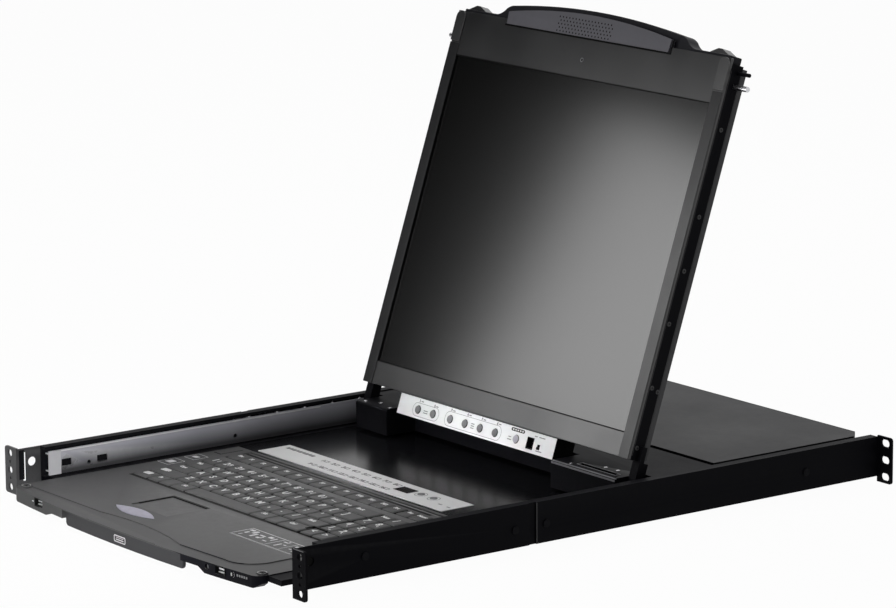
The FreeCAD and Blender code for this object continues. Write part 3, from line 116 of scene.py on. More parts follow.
def extent(node, axes=LEVEL):
    """Lowest and highest corner of a CAD node along the given axes."""
    spots = [axes.transposed() @ v.co for v in frame["nodes"][node].data.vertices]
    return (Vector([min(p[i] for p in spots) for i in range(3)]),
            Vector([max(p[i] for p in spots) for i in range(3)]))


# ---------------------------------------------------------------- shared shader groups
COARSE_SCALE, COARSE_WEIGHT = 0.41, 0.5  # the second, larger grain against the fine one
WEAR_GAIN, BLOTCH_SIZE, LEAST_WEAR = 9.0, 160.0, 0.25
STRETCH = (1.0, 0.02, 1.0)  # noise scale that draws grain out into lines along y


def open_group(name, inputs, outputs):
    """A shader group with number sockets, each input with its default, least and greatest value."""
    group = bpy.data.node_groups.new(name, "ShaderNodeTree")
    for title, start, low, high in inputs:
        made = group.interface.new_socket(name=title, in_out="INPUT", socket_type="NodeSocketFloat")
        made.default_value, made.min_value, made.max_value = start, low, high
    for title in outputs:
        group.interface.new_socket(name=title, in_out="OUTPUT", socket_type="NodeSocketFloat")
    nodes, links = group.nodes, group.links
    ins, outs = nodes.new("NodeGroupInput"), nodes.new("NodeGroupOutput")
    place = nodes.new("ShaderNodeTexCoord").outputs["Object"]
    return group, nodes, links, ins, outs, place


def math_node(nodes, links, kind, *terms, clamp=False):
    made = nodes.new("ShaderNodeMath")
    made.operation, made.use_clamp = kind, clamp
    for i, term in enumerate(terms):
        if isinstance(term, (int, float)):
            made.inputs[i].default_value = term
        else:
            links.new(term, made.inputs[i])
    return made.outputs[0]


def noise(nodes, links, place, scale, detail=2.0, rough=0.5):
    made = nodes.new("ShaderNodeTexNoise")
    links.new(place, made.inputs["Vector"])
    if isinstance(scale, (int, float)):
        made.inputs["Scale"].default_value = scale
    else:
        links.new(scale, made.inputs["Scale"])
    made.inputs["Detail"].default_value = detail
    made.inputs["Roughness"].default_value = rough
    return made.outputs["Fac"]


def mix_colours(nodes, links, factor, first, second):
    """A blend of two colours, each a socket or plain values."""
    made = nodes.new("ShaderNodeMix")
    made.data_type = "RGBA"
    links.new(factor, made.inputs["Factor"])
    for name, colour in (("A", first), ("B", second)):
        if isinstance(colour, tuple):
            made.inputs[name].default_value = colour
        else:
            links.new(colour, made.inputs[name])
    return made.outputs["Result"]


def seen_directly(nodes, links):
    """Mask of the rays that show a background: from the camera, by reflection or through glass."""
    path = nodes.new("ShaderNodeLightPath")
    camera, glossy = path.outputs["Is Camera Ray"], path.outputs["Is Glossy Ray"]
    seen = math_node(nodes, links, "ADD", camera, glossy)
    return math_node(nodes, links, "ADD", seen, path.outputs["Is Transmission Ray"], clamp=True)


def make_grain_group():
    """Moulded or sprayed grain: a height for bump, and a mask of patches for the rest."""
    group, nodes, links, ins, outs, place = open_group(
        "surface_grain", (("Grain Size", 900.0, 1.0, 9000.0), ("Patch Size", 14.0, 0.1, 900.0)),
        ("Height", "Patches"))
    fine = noise(nodes, links, place, ins.outputs["Grain Size"], 2.0, 0.6)
    coarse_size = math_node(nodes, links, "MULTIPLY", ins.outputs["Grain Size"], COARSE_SCALE)
    coarse = noise(nodes, links, place, coarse_size, 1.0, 0.5)
    height = math_node(nodes, links, "MULTIPLY_ADD", coarse, COARSE_WEIGHT, fine)
    links.new(height, outs.inputs["Height"])
    patches = noise(nodes, links, place, ins.outputs["Patch Size"], 4.0, 0.6)
    links.new(patches, outs.inputs["Patches"])
    return group


def make_wear_group():
    """Mask of the raised edges, broken up by noise, where handling has polished the finish."""
    group, nodes, links, ins, outs, place = open_group(
        "edge_wear", (("Start", 0.53, 0.0, 1.0), ("Amount", 0.5, 0.0, 1.0)), ("Wear",))
    sharp = nodes.new("ShaderNodeNewGeometry").outputs["Pointiness"]
    over = math_node(nodes, links, "SUBTRACT", sharp, ins.outputs["Start"])
    edge = math_node(nodes, links, "MULTIPLY", over, WEAR_GAIN, clamp=True)
    blotches = noise(nodes, links, place, BLOTCH_SIZE, 3.0, 0.6)
    broken = math_node(nodes, links, "ADD", blotches, LEAST_WEAR, clamp=True)
    worn = math_node(nodes, links, "MULTIPLY", edge, broken)
    links.new(math_node(nodes, links, "MULTIPLY", worn, ins.outputs["Amount"]), outs.inputs["Wear"])
    return group


def make_brush_group():
    """Fine drawn lines along the drawer's length, as rolled and plated steel strip has."""
    group, nodes, links, ins, outs, place = open_group(
        "drawn_lines", (("Line Size", 1400.0, 1.0, 9000.0),), ("Lines",))
    stretch = nodes.new("ShaderNodeMapping")
    stretch.inputs["Scale"].default_value = STRETCH
    links.new(place, stretch.inputs["Vector"])
    lines = noise(nodes, links, stretch.outputs[0], ins.outputs["Line Size"], 3.0, 0.7)
    links.new(lines, outs.inputs["Lines"])
    return group


GRAIN, WEAR, BRUSH = make_grain_group(), make_wear_group(), make_brush_group()


# ---------------------------------------------------------------- finishes
GRAIN_DEPTH_M = 0.00006
PATCH_SIZE = 14.0
COAT_ROUGH = 0.1
EDGE_PALER, EDGE_LIFT = 2.2, 0.02  # a worn edge's colour against its finish's
WORN_ROUGHER = -0.15
LINE_WEIGHT = 2.0


def finish_material(name, colour, rough, grain, bump, vary=0.12, wear=0.5, metal=0.0, gloss=0.5,
                    coat=0.0, brushed=False, painted_shade_band=None, rough_vary=0.1):
    """A Principled finish: grain in its height, patches in colour and roughness, worn edges."""
    made = bpy.data.materials.new(name)
    made.use_nodes = True
    nodes, links = made.node_tree.nodes, made.node_tree.links
    nodes.clear()
    shader = nodes.new("ShaderNodeBsdfPrincipled")
    links.new(shader.outputs[0], nodes.new("ShaderNodeOutputMaterial").inputs["Surface"])
    shader.inputs["Metallic"].default_value = metal
    shader.inputs["Specular IOR Level"].default_value = gloss
    shader.inputs["Coat Weight"].default_value = coat
    shader.inputs["Coat Roughness"].default_value = COAT_ROUGH
    skin = nodes.new("ShaderNodeGroup")
    skin.node_tree = GRAIN
    skin.inputs["Grain Size"].default_value = grain
    skin.inputs["Patch Size"].default_value = PATCH_SIZE
    # colour: a little darker and lighter in patches, paler on worn edges
    darker = tuple(c * (1 - vary) for c in colour) + (1,)
    lighter = tuple(min(1, c * (1 + vary)) for c in colour) + (1,)
    edge = tuple(min(1, c * EDGE_PALER + EDGE_LIFT) for c in colour) + (1,)
    painted = mix_colours(nodes, links, skin.outputs["Patches"], darker, lighter)
    worn = nodes.new("ShaderNodeGroup")
    worn.node_tree = WEAR
    worn.inputs["Amount"].default_value = wear
    painted = mix_colours(nodes, links, worn.outputs["Wear"], painted, edge)
    if painted_shade_band:
        # painted shade: darker towards the bottom of a band of heights, standing for darker reflections low on the
        # slides
        low, high, keep = painted_shade_band
        height = nodes.new("ShaderNodeSeparateXYZ")
        links.new(nodes.new("ShaderNodeTexCoord").outputs["Object"], height.inputs[0])
        band = nodes.new("ShaderNodeMapRange")
        band.inputs["From Min"].default_value = low
        band.inputs["From Max"].default_value = high
        band.inputs["To Min"].default_value = keep
        links.new(height.outputs["Z"], band.inputs["Value"])
        painted = mix_colours(nodes, links, band.outputs[0], (0, 0, 0, 1), painted)
    links.new(painted, shader.inputs["Base Color"])
    # roughness: rougher and smoother in the same patches, smoother where it is worn
    spread = math_node(nodes, links, "MULTIPLY_ADD", skin.outputs["Patches"], rough_vary * 2,
                       rough - rough_vary)
    polished = math_node(nodes, links, "MULTIPLY_ADD", worn.outputs["Wear"], WORN_ROUGHER, spread,
                         clamp=True)
    links.new(polished, shader.inputs["Roughness"])
    # height: the grain, with drawn lines over it on brushed steel
    rise = nodes.new("ShaderNodeBump")
    rise.inputs["Strength"].default_value = bump
    rise.inputs["Distance"].default_value = GRAIN_DEPTH_M
    height = skin.outputs["Height"]
    if brushed:
        lines = nodes.new("ShaderNodeGroup")
        lines.node_tree = BRUSH
        drawn = lines.outputs["Lines"]
        height = math_node(nodes, links, "MULTIPLY_ADD", drawn, LINE_WEIGHT, height)
    links.new(height, rise.inputs["Height"])
    links.new(rise.outputs["Normal"], shader.inputs["Normal"])
    return made


# colour, roughness, grain size, bump strength, and what differs from finish_material's defaults
FINISHES = {
    "black_steel": ((0.0045, 0.0045, 0.006), 0.55, 1500, 0.25, dict(gloss=0.03)),
    "back_steel": ((0.020, 0.020, 0.022), 0.50, 1500, 0.3, dict(gloss=0.3)),
    "deck_steel": ((0.032, 0.032, 0.034), 0.50, 1500, 0.25, dict(gloss=0.08)),
    "bracket_steel": ((0.050, 0.050, 0.052), 0.50, 1500, 0.25, dict(gloss=0.3)),
    # the slides' steel is darker towards its lower edge: painted shade
    "slide_steel": ((0.60, 0.60, 0.66), 0.34, 900, 0.08,
                    dict(metal=0.15, brushed=True, painted_shade_band=(-0.003, 0.013, 0.10))),
    # lighter copy of the slide steel for the rails' front ends: painted light
    "slide_end_painted_light": ((0.70, 0.70, 0.73), 0.34, 900, 0.08, dict(metal=0.1, brushed=True)),
    "bright_steel": ((0.55, 0.55, 0.57), 0.26, 900, 0.05, dict(metal=1.0)),
    "palm_plastic": ((0.080, 0.080, 0.081), 0.50, 1900, 0.3, dict(gloss=0.14)),
    "handle_plastic": ((0.046, 0.046, 0.049), 0.50, 1900, 0.3, dict(gloss=0.15)),
    # near-black for the fascia's right part: painted shade
    "fascia_painted_shade": ((0.005, 0.005, 0.008), 0.42, 1900, 0.1, dict(gloss=0.05)),
    "gloss_plate": ((0.005, 0.005, 0.006), 0.20, 1500, 0.04,
                    dict(gloss=0.20, wear=0.0, rough_vary=0.03)),
    # lighter steel for the deck's front edge: a painted highlight
    "lip_steel_highlight": ((0.16, 0.16, 0.17), 0.45, 1500, 0.25, dict(gloss=0.3)),
    "cap_plastic": ((0.017, 0.017, 0.018), 0.36, 1900, 0.12, dict(gloss=0.7)),
    # lighter grey for the palm cover's front edge: a painted highlight
    "palm_edge_highlight": ((0.125, 0.125, 0.127), 0.45, 1900, 0.2, dict(gloss=0.3)),
    # near-black for the right front bracket: painted shade
    "ear_steel_painted_shade": ((0.0045, 0.0045, 0.006), 0.55, 1500, 0.25, dict(gloss=0.03)),
    "key_plastic": ((0.080, 0.080, 0.081), 0.50, 2400, 0.25, dict(gloss=0.15)),
    # dark key plate between the keys, and painted shade on the keycaps' sides
    "key_gap": ((0.012, 0.012, 0.012), 0.60, 1900, 0.1, dict(gloss=0.06)),
    "label_grey": ((0.87, 0.87, 0.87), 0.45, 2400, 0.05, dict(vary=0.03, wear=0.0)),
    "lavender_plastic": ((0.28, 0.27, 0.34), 0.42, 2400, 0.12, {}),
    "grip_plastic": ((0.074, 0.072, 0.087), 0.55, 2400, 0.25, {}),
    "bezel_plastic": ((0.009, 0.009, 0.010), 0.34, 1900, 0.12, dict(gloss=0.6)),
    "shoulder_plastic": ((0.010, 0.010, 0.013), 0.5, 1900, 0.2, dict(gloss=0.1)),
    "strip_plastic": ((0.008, 0.008, 0.009), 0.36, 1900, 0.12, dict(gloss=0.28)),
    "touchpad_film": ((0.078, 0.078, 0.079), 0.5, 1900, 0.15, dict(gloss=0.10)),
    "screen_panel": ((0.002, 0.002, 0.002), 0.213, 2600, 0.03,
                     dict(wear=0.0, gloss=0.5, vary=0.02, rough_vary=0.004)),
    "housing_white": ((0.92, 0.92, 0.93), 0.45, 2400, 0.05, dict(vary=0.02, wear=0.0)),
    "button_grey": ((0.17, 0.17, 0.18), 0.35, 2400, 0.05, {}),
    "lock_lavender": ((0.50, 0.48, 0.56), 0.4, 2400, 0.05, dict(vary=0.04)),
    "dark_lens": ((0.006, 0.004, 0.004), 0.15, 2400, 0.02, dict(gloss=0.1)),
    "socket_black": ((0.002, 0.002, 0.002), 0.5, 2400, 0.1, dict(gloss=0.03)),
    "contact_gold": ((0.60, 0.42, 0.16), 0.3, 2400, 0.05, dict(metal=1.0)),
    "board_green": ((0.02, 0.12, 0.06), 0.35, 1200, 0.1, dict(coat=0.5)),
    "supply_case": ((0.55, 0.55, 0.56), 0.35, 900, 0.1, dict(metal=1.0, brushed=True)),
    "print_white": ((0.85, 0.85, 0.86), 0.6, 2400, 0.02, dict(vary=0.03, wear=0.0)),
    "print_grey": ((0.30, 0.30, 0.31), 0.6, 2400, 0.02, dict(vary=0.03, wear=0.0)),
    "print_dark": ((0.020, 0.020, 0.022), 0.6, 2400, 0.02, dict(vary=0.03, wear=0.0)),
    "legend_white": ((0.93, 0.93, 0.93), 0.6, 2400, 0.02, dict(vary=0.03, wear=0.0)),
}
FINISH = {name: finish_material(name, *row[:-1], **row[-1]) for name, row in FINISHES.items()}
for name, thing in frame["nodes"].items():
    thing.data.materials.clear()
    thing.data.materials.append(FINISH[slot_of_node(name)])
# nodes that wear another finish than their slot's
for name, finish in (("keyboard_pan", "black_steel"), ("slide_channels", "black_steel"),
                     ("usb_sockets", "socket_black"), ("touchpad", "touchpad_film"),
                     ("key_plate", "key_gap"), ("screen_back_cover", "back_steel"),
                     ("rear_panel", "back_steel")):
    frame["nodes"][name].data.materials[0] = FINISH[finish]


# ---------------------------------------------------------------- meshes
SAME_SPOT_M = 1e-6
FLAT_WITHIN, ROUND_FROM = 0.6, 30  # degrees between faces that are joined, and that get a rounding


def add_object(name, data):
    made = bpy.data.objects.new(name, data)
    bpy.context.scene.collection.objects.link(made)
    return made


def add_mesh(name, bm, material):
    """Turns mesh code into a named object."""
    mesh = bpy.data.meshes.new(name)
    bm.to_mesh(mesh)
    bm.free()
    mesh.materials.append(material)
    return add_object(name, mesh)


def piece(name, bm, body, finish):
    """Turns mesh code into a named piece that rides on a body."""
    made = add_mesh(name, bm, FINISH[finish])
    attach(made, body)
    return made


def smooth(made):
    for face in made.data.polygons:
        face.use_smooth = True


def apply_modifiers(thing):
    """Keeps the mesh that the modifiers give, and drops them."""
    bpy.context.view_layer.update()
    graph = bpy.context.evaluated_depsgraph_get()
    final = bpy.data.meshes.new_from_object(thing.evaluated_get(graph))
    thing.modifiers.clear()
    thing.data = final


def paint(made, finish, test):
    """Gives another finish to the faces whose middle, in mm, and normal pass a test."""
    made.data.materials.append(FINISH[finish])
    for face in made.data.polygons:
        if test(face.center / MM, face.normal):
            face.material_index = len(made.data.materials) - 1


def clean_mesh(node):
    """Mesh code of a CAD node, with the corners that lie at one spot joined."""
    bm = bmesh.new()
    bm.from_mesh(frame["nodes"][node].data)
    bmesh.ops.remove_doubles(bm, verts=bm.verts, dist=SAME_SPOT_M)
    return bm


def soften(node, width):
    """A copy of a CAD node with its edges rounded, as a mould or a press leaves them."""
    bm = clean_mesh(node)
    bmesh.ops.dissolve_limit(bm, angle_limit=math.radians(FLAT_WITHIN), verts=bm.verts,
                             edges=bm.edges)
    for face in bm.faces:
        face.smooth = True
    slot = slot_of_node(node)
    made = piece(node + "_rounded", bm, body_of_node(node), slot)
    bevel = made.modifiers.new("rounding", "BEVEL")
    bevel.width = width * MM
    bevel.segments = 2
    bevel.limit_method = "ANGLE"
    bevel.angle_limit = math.radians(ROUND_FROM)
    bevel.use_clamp_overlap = True
    level = made.modifiers.new("flat_faces", "WEIGHTED_NORMAL")
    level.weight = 80
    level.keep_sharp = True
    apply_modifiers(made)
    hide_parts(node)
    return made


def islands(node):
    """Boxes of a node's separate solids, in mm, from left to right."""
    bm = clean_mesh(node)
    left, boxes = set(bm.verts), []
    while left:
        group, edge = set(), [left.pop()]
        while edge:
            vert = edge.pop()
            group.add(vert)
            for other in (e.other_vert(vert) for e in vert.link_edges):
                if other in left:
                    left.discard(other)
                    edge.append(other)
        spots = [v.co / MM for v in group]
        boxes.append([[f(p[i] for p in spots) for i in range(3)] for f in (min, max)])
    bm.free()
    return sorted(boxes)


def touch(node, spot, way):
    """Distance along a direction from a spot to a CAD node's surface, in mm."""
    mesh = frame["nodes"][node].data
    faces = [face.vertices for face in mesh.polygons]
    tree = BVHTree.FromPolygons([v.co for v in mesh.vertices], faces)
    return tree.ray_cast(Vector(spot) * MM, Vector(way))[3] / MM


# ---------------------------------------------------------------- outlines and skins
def rounded(x0, y0, x1, y1, radius, steps=3):
    """Rounded rectangle."""
    radius = min(radius, (x1 - x0) / 2 - 0.001, (y1 - y0) / 2 - 0.001)
    corners = ((x1 - radius, y0 + radius, -90), (x1 - radius, y1 - radius, 0),
               (x0 + radius, y1 - radius, 90), (x0 + radius, y0 + radius, 180))
    return [(x + radius * math.cos(math.radians(turn + 90 * k / steps)),
             y + radius * math.sin(math.radians(turn + 90 * k / steps)))
            for x, y, turn in corners for k in range(steps + 1)]


def circle(x, y, radius, steps=20):
    turns = [math.tau * k / steps for k in range(steps)]
    return [(x + radius * math.cos(turn), y + radius * math.sin(turn)) for turn in turns]


def loft(bm, layers, place=FLAT, closed=False):
    """Closed skin through outlines of equal length, each at its height out of a surface."""
    rings = [[bm.verts.new(place @ (Vector((x, y, height)) * MM)) for x, y in outline]
             for outline, height in layers]
    for low, high in zip(rings, rings[1:] + (rings[:1] if closed else [])):
        for i in range(len(low)):
            j = (i + 1) % len(low)
            bm.faces.new((low[i], low[j], high[j], high[i]))
    if not closed:
        bm.faces.new(rings[0][::-1])
        bm.faces.new(rings[-1])


def slab(bm, x0, y0, x1, y1, low, high, place=FLAT, radius=0.2, steps=2):
    loft(bm, [(rounded(x0, y0, x1, y1, radius, steps), h) for h in (low, high)], place)


def outline_band(bm, x0, y0, x1, y1, wide, low, high, place=FLAT, radius=1.0, steps=4):
    """Thin printed or raised line round a rounded rectangle."""
    outer = rounded(x0, y0, x1, y1, radius, steps)
    inner = rounded(x0 + wide, y0 + wide, x1 - wide, y1 - wide, max(radius - wide, 0.01), steps)
    loft(bm, [(outer, low), (outer, high), (inner, high), (inner, low)], place, closed=True)


def ring(bm, x, y, outer, inner, low, high, place=FLAT, steps=28, hole_x=None):
    """Thin round line, whose hole may lie to one side of it."""
    rim, hole = circle(x, y, outer, steps), circle(x if hole_x is None else hole_x, y, inner, steps)
    loft(bm, [(rim, low), (rim, high), (hole, high), (hole, low)], place, closed=True)


def dome(bm, x, y, radius, low, high, place=FLAT, steps=24, edge=0.25):
    """Round button or screw head with a rounded rim and a slightly domed top."""
    rise = high - low
    layers = [(1.0, 0), (1.0, 1 - edge), (0.93, 1 - edge * 0.4), (0.7, 1 - edge * 0.1), (0.3, 1)]
    loft(bm, [(circle(x, y, radius * r, steps), low + rise * h) for r, h in layers], place)


LETTER_DEPTH, STROKE_WIDER, SIZE_FOR_HEIGHT = 0.012, 0.34, 1.4
SCRIBE = bpy.data.objects.new("scribe", bpy.data.curves.new("scribe", "FONT"))
SCRIBE.data.resolution_u = 2
SCRIBE.data.extrude = LETTER_DEPTH * MM
SCRIBE.data.offset = STROKE_WIDER * MM
SCRIBE.data.align_x, SCRIBE.data.align_y = "CENTER", "CENTER"


def letters(bm, words, x, y, tall, height, place=FLAT, drape=None):
    """Printed characters, centred on a spot; drape gives a surface's height at an x and y."""
    SCRIBE.data.body = words
    SCRIBE.data.size = tall * SIZE_FOR_HEIGHT * MM
    mesh = bpy.data.meshes.new_from_object(SCRIBE)
    for vert in mesh.vertices:
        spot = vert.co / MM + Vector((x, y, height))
        if drape:
            spot.z += drape(spot.x, spot.y)
        vert.co = place @ (spot * MM)
    bm.from_mesh(mesh)
    bpy.data.meshes.remove(mesh)


# How far print is sunk into a surface, and how far it stands over most surfaces, the port strip,
# and the fascia and sheet edges.
SINK, RISE, STRIP_RISE, EDGE_RISE = 0.05, 0.04, 0.03, 0.05


# ---------------------------------------------------------------- pressed and moulded parts
ROUNDED = {node: soften(node, width) for node, width in (
    ("palm_cover", 0.9), ("lower_handle", 0.9), ("screen_bezel", 0.5), ("screen_frame", 0.5),
    ("upper_handle", 0.8), ("handle_grip", 0.7), ("side_trim", 0.35), ("control_housing", 0.5),
    ("front_bracket_left", 0.3), ("front_bracket_right", 0.3), ("rear_bracket_left", 0.3),
    ("rear_bracket_right", 0.3), ("chassis_shell", 0.35), ("carriage_rail_left", 0.3),
    ("carriage_rail_right", 0.3), ("carriage_deck", 0.4), ("rear_cover", 0.5),
    ("hinge_brackets", 0.4), ("hinge_arms", 0.5), ("screen_catch_left", 0.5),
    ("screen_catch_right", 0.5))}
COVER_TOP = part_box("palm_cover")[1][2] / MM
CAP_START = 332.5  # where the side trim's end cap starts, up the panel

ROUNDED["handle_grip"].data.materials[0] = FINISH["grip_plastic"]
ROUNDED["lower_handle"].data.materials[0] = FINISH["handle_plastic"]
for node, finish, test in (
        # the control housing's faces that turn away from the front are black: painted shade
        ("control_housing", "socket_black", lambda spot, way: way.dot(OUT) < 0.5),
        # the right part of the cover's fascia and its right side in near-black: painted shade where the light
        # falls off
        ("palm_cover", "fascia_painted_shade",
         lambda spot, way: way.z < 0.6 and ((spot.x > 80 and spot.y < 0) or spot.x > 165)),
        # the palm cover's rounded front edge in a lighter grey: a painted highlight
        ("palm_cover", "palm_edge_highlight",
         lambda spot, way: (0.2 < way.z < 0.97 and way.y < -0.2 and spot.x < 165
                            and spot.z < COVER_TOP - 0.82)),
        # painted light and shade: the deck's upper faces on the right and at the back in a lighter steel, the rest
        # of the deck darker
        ("carriage_deck", "deck_steel",
         lambda spot, way: way.z > 0.3 and (spot.x > 100 or spot.y > 405)),
        # the whole right front bracket in near-black: painted shade, while its mirror on the left is lighter
        ("front_bracket_right", "ear_steel_painted_shade", lambda spot, way: True),
        # the left front bracket's right-facing faces and front in a lighter steel than its other faces: painted
        # light
        ("front_bracket_left", "bracket_steel",
         lambda spot, way: way.x > 0.3 or (spot.y < 3 and way.y < 0.3)),
        ("upper_handle", "shoulder_plastic", lambda spot, way: True),
        ("side_trim", "cap_plastic", lambda spot, way: (TO_PANEL @ (spot * MM)).y > CAP_START * MM),
        # the rear cover's upper faces in a lighter steel than its sides: painted light
        ("rear_cover", "deck_steel", lambda spot, way: way.z > 0.5)):
    paint(ROUNDED[node], finish, test)
# the front end of each carriage rail in a lighter copy of the slide steel: painted light
for side in ("left", "right"):
    paint(ROUNDED["carriage_rail_" + side], "slide_end_painted_light", lambda spot, way: spot.y < 39.6)
    paint(ROUNDED["screen_catch_" + side], "bright_steel", lambda spot, way: abs(spot.x) > 204)


# ---------------------------------------------------------------- keyboard
LEGENDS = {
    "space": ["Ctrl", "Fn", "", "Alt", "", "Alt", "", "Ctrl", *"<>0."],
    "shift": ["Shift", *"ZXCVBNM,./", "Shift", *"123="],
    "home": ["Caps", *"ASDFGHJKL;'", "Enter", *"456+"],
    "upper": ["Tab", *"QWERTYUIOP[]789-"],
    "digits": [*"1234567890-=", "Back", "Num", "/", "*", "Del"],
    "function": ["Esc", "F1", "F2", "F3", "F4", "F5", "F6", "F7", "F8", "F9", "F10", "F11", "F12",
                 "Prt", "Ins", "Home", "End", "Pg"],
}
SHIFTED_DIGITS = "!@#$%^&*()_+"
NUMBER_PAD = 90  # keys to the right of this carry a third sign
# how far in from a cap's edge, and how far its top lies under its highest line there
DISH = ((0.0, -0.95), (0.75, -0.30), (1.25, -0.06), (1.75, 0.0), (3.2, -0.14), (5.0, -0.22))


def dish_height(box):
    """Height of a keycap's dished top, from how far a spot is inside the cap's edge."""
    (x0, y0, _), (x1, y1, _) = box

    def height(x, y):
        inset = max(0.0, min(x - x0, x1 - x, y - y0, y1 - y))
        for (a, low), (b, high) in zip(DISH, DISH[1:]):
            if inset <= b:
                return low + (high - low) * (inset - a) / (b - a)
        return DISH[-1][1]
    return height


for row, legends in LEGENDS.items():
    node = "keys_row_" + row
    caps, marks = bmesh.new(), bmesh.new()
    for n, (box, word) in enumerate(zip(islands(node), legends)):
        (x0, y0, low), (x1, y1, high) = box
        # the cap: straight sides, a rounded rim and a dished top
        layers = [(rounded(x0, y0, x1, y1, 0.8), low)]
        for inset, drop in DISH:
            sides = x0 + inset, y0 + inset, x1 - inset, y1 - inset
            layers.append((rounded(*sides, 1.2 + inset * 0.4), high + drop))
        loft(caps, layers)
        # its print: a large sign or a small word, then the second and third signs
        ink, drape = high + RISE, dish_height(box)
        if len(word) == 1:
            letters(marks, word, x0 + 6.2, y1 - 6.8, 7.2, ink, drape=drape)
        elif word:
            middle = min(x0 + 3.2 + 1.6 * len(word), (x0 + x1) / 2)
            letters(marks, word, middle, y1 - 6.2, 3.8, ink, drape=drape)
        if row == "digits" and n < len(SHIFTED_DIGITS):
            letters(marks, SHIFTED_DIGITS[n], x0 + 12.0, y1 - 6.6, 4.4, ink, drape=drape)
        if row in ("shift", "home", "upper") and x0 > NUMBER_PAD:
            letters(marks, "+-<>"[n % 4], x0 + 10.6, y0 + 5.4, 2.6, ink, drape=drape)
        if row in ("space", "shift") and n == 0:
            patch = [(x + 1.0, y) for x, y in rounded(x0 + 2.6, y1 - 9.2, x0 + 12.8, y1 - 3.0, 1.0)]
            loft(marks, [(patch, high - 0.2), (patch, high + 0.06)])
    made = piece(node + "_caps", caps, body_of_node(node), "key_plastic")
    smooth(made)
    # the keycaps' sides are painted dark: painted shade
    paint(made, "key_gap", lambda spot, way: way.z < 0.55)
    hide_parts(node)
    piece(node + "_legends", marks, body_of_node(node), "legend_white")

# a shelf closes the back of the key well, a spacer parts the two rear rows, and dark grooves and a
# light line run beside the keys, round the arrow keys' notch and over the cover
(WELL_X0, WELL_Y0, _), (WELL_X1, WELL_Y1, WELL_FLOOR) = islands("key_plate")[0]
KEY_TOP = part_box("keys_row_space")[1][2] / MM
shelf, spacer, groove, light_line = bmesh.new(), bmesh.new(), bmesh.new(), bmesh.new()
slab(shelf, WELL_X0, 216.6, WELL_X1, WELL_Y1 - 0.9, WELL_FLOOR, COVER_TOP - 0.7, radius=1.0)
slab(spacer, WELL_X0 + 1, 189.6, WELL_X1 - 1, 197.4, WELL_FLOOR, COVER_TOP + 0.4, radius=1.0)
slab(groove, WELL_X0 + 1, 220.6, 112, 224.0, COVER_TOP - 0.9, COVER_TOP - 0.66)
slab(groove, WELL_X0, WELL_Y0 - 1.2, 44, WELL_Y0 + 1.7, COVER_TOP - 0.9, COVER_TOP + 0.04)
slab(groove, 85.0, 105.6, 87.0, 115.8, WELL_FLOOR, KEY_TOP + 0.4)
slab(groove, 85.0, 113.8, 106.0, 115.8, WELL_FLOOR, KEY_TOP + 0.4)
slab(groove, -202, 200.5, -190.6, 202.3, COVER_TOP - 0.1, COVER_TOP + 0.03)
slab(groove, -192.2, 201.5, -190.6, 226.5, COVER_TOP - 0.1, COVER_TOP + 0.03)
slab(light_line, 48, 225.2, 118, 226.0, COVER_TOP - 0.9, COVER_TOP - 0.66)
piece("key_well_shelf", shelf, "keyboard_module", "palm_plastic")
piece("key_row_spacer", spacer, "keyboard_module", "palm_plastic")
piece("cover_grooves", groove, "keyboard_module", "socket_black")
piece("cover_light_line", light_line, "keyboard_module", "print_grey")

# printed panels beside the keys and on the palm rest, with generic marks only
prints = bmesh.new()
COVER_INK = COVER_TOP - SINK, COVER_TOP + RISE
for x0, y0, x1, y1 in ((-206, 140, -188, 160), (-205, 169, -188, 186)):
    outline_band(prints, x0, y0, x1, y1, 0.6, *COVER_INK)
    slab(prints, x0 + 4, y0 + 6, x1 - 5, y1 - 6, *COVER_INK, radius=1.0)
outline_band(prints, 54, 48, 147, 72.5, 0.9, *COVER_INK, radius=0.3)
for x0, y0, x1, y1 in ((54, 47.0, 147, 49.2), (104.2, 48, 104.9, 72.5), (124.6, 48, 125.2, 72.5)):
    slab(prints, x0, y0, x1, y1, *COVER_INK, radius=0.1)
for x, y, wide, deep in (
        (57, 66, 7, 3.4), (60, 58, 3, 5), (66, 62, 4, 7), (72, 55, 3, 9), (77, 63, 8, 2),
        (80, 56, 5, 3), (88, 64, 6, 4), (92, 55, 6, 1.6), (97, 60, 2, 8), (109, 66, 5, 2),
        (112, 53, 2, 9), (117, 60, 4, 1.6), (129, 64, 8, 3), (131, 56, 4, 1.6), (138, 53, 2, 6)):
    slab(prints, x, y, x + wide, y + deep, *COVER_INK, radius=0.6)
for x, y, word in ((62, 53, "1"), (85, 60, "2"), (115, 68, "3"), (136, 60, "4")):
    letters(prints, word, x, y, 4.0, COVER_TOP + 0.03)
piece("cover_prints", prints, "keyboard_module", "print_white")

# touchpad: painted shade along its left and back edges, standing for the shaded wall of its recess
(x0, y0, _), (x1, y1, _) = islands("touchpad")[0]
recess_shade = bmesh.new()
for sides in ((x0 - 1.2, y0 + 8, x0 + 1.0, y1 + 2.4), (x0 - 1.2, y1 - 0.5, x1 + 0.4, y1 + 2.4)):
    slab(recess_shade, *sides, COVER_TOP - 0.9, COVER_TOP + 0.02, radius=0.1)
piece("touchpad_recess_shade", recess_shade, "keyboard_module", "socket_black")

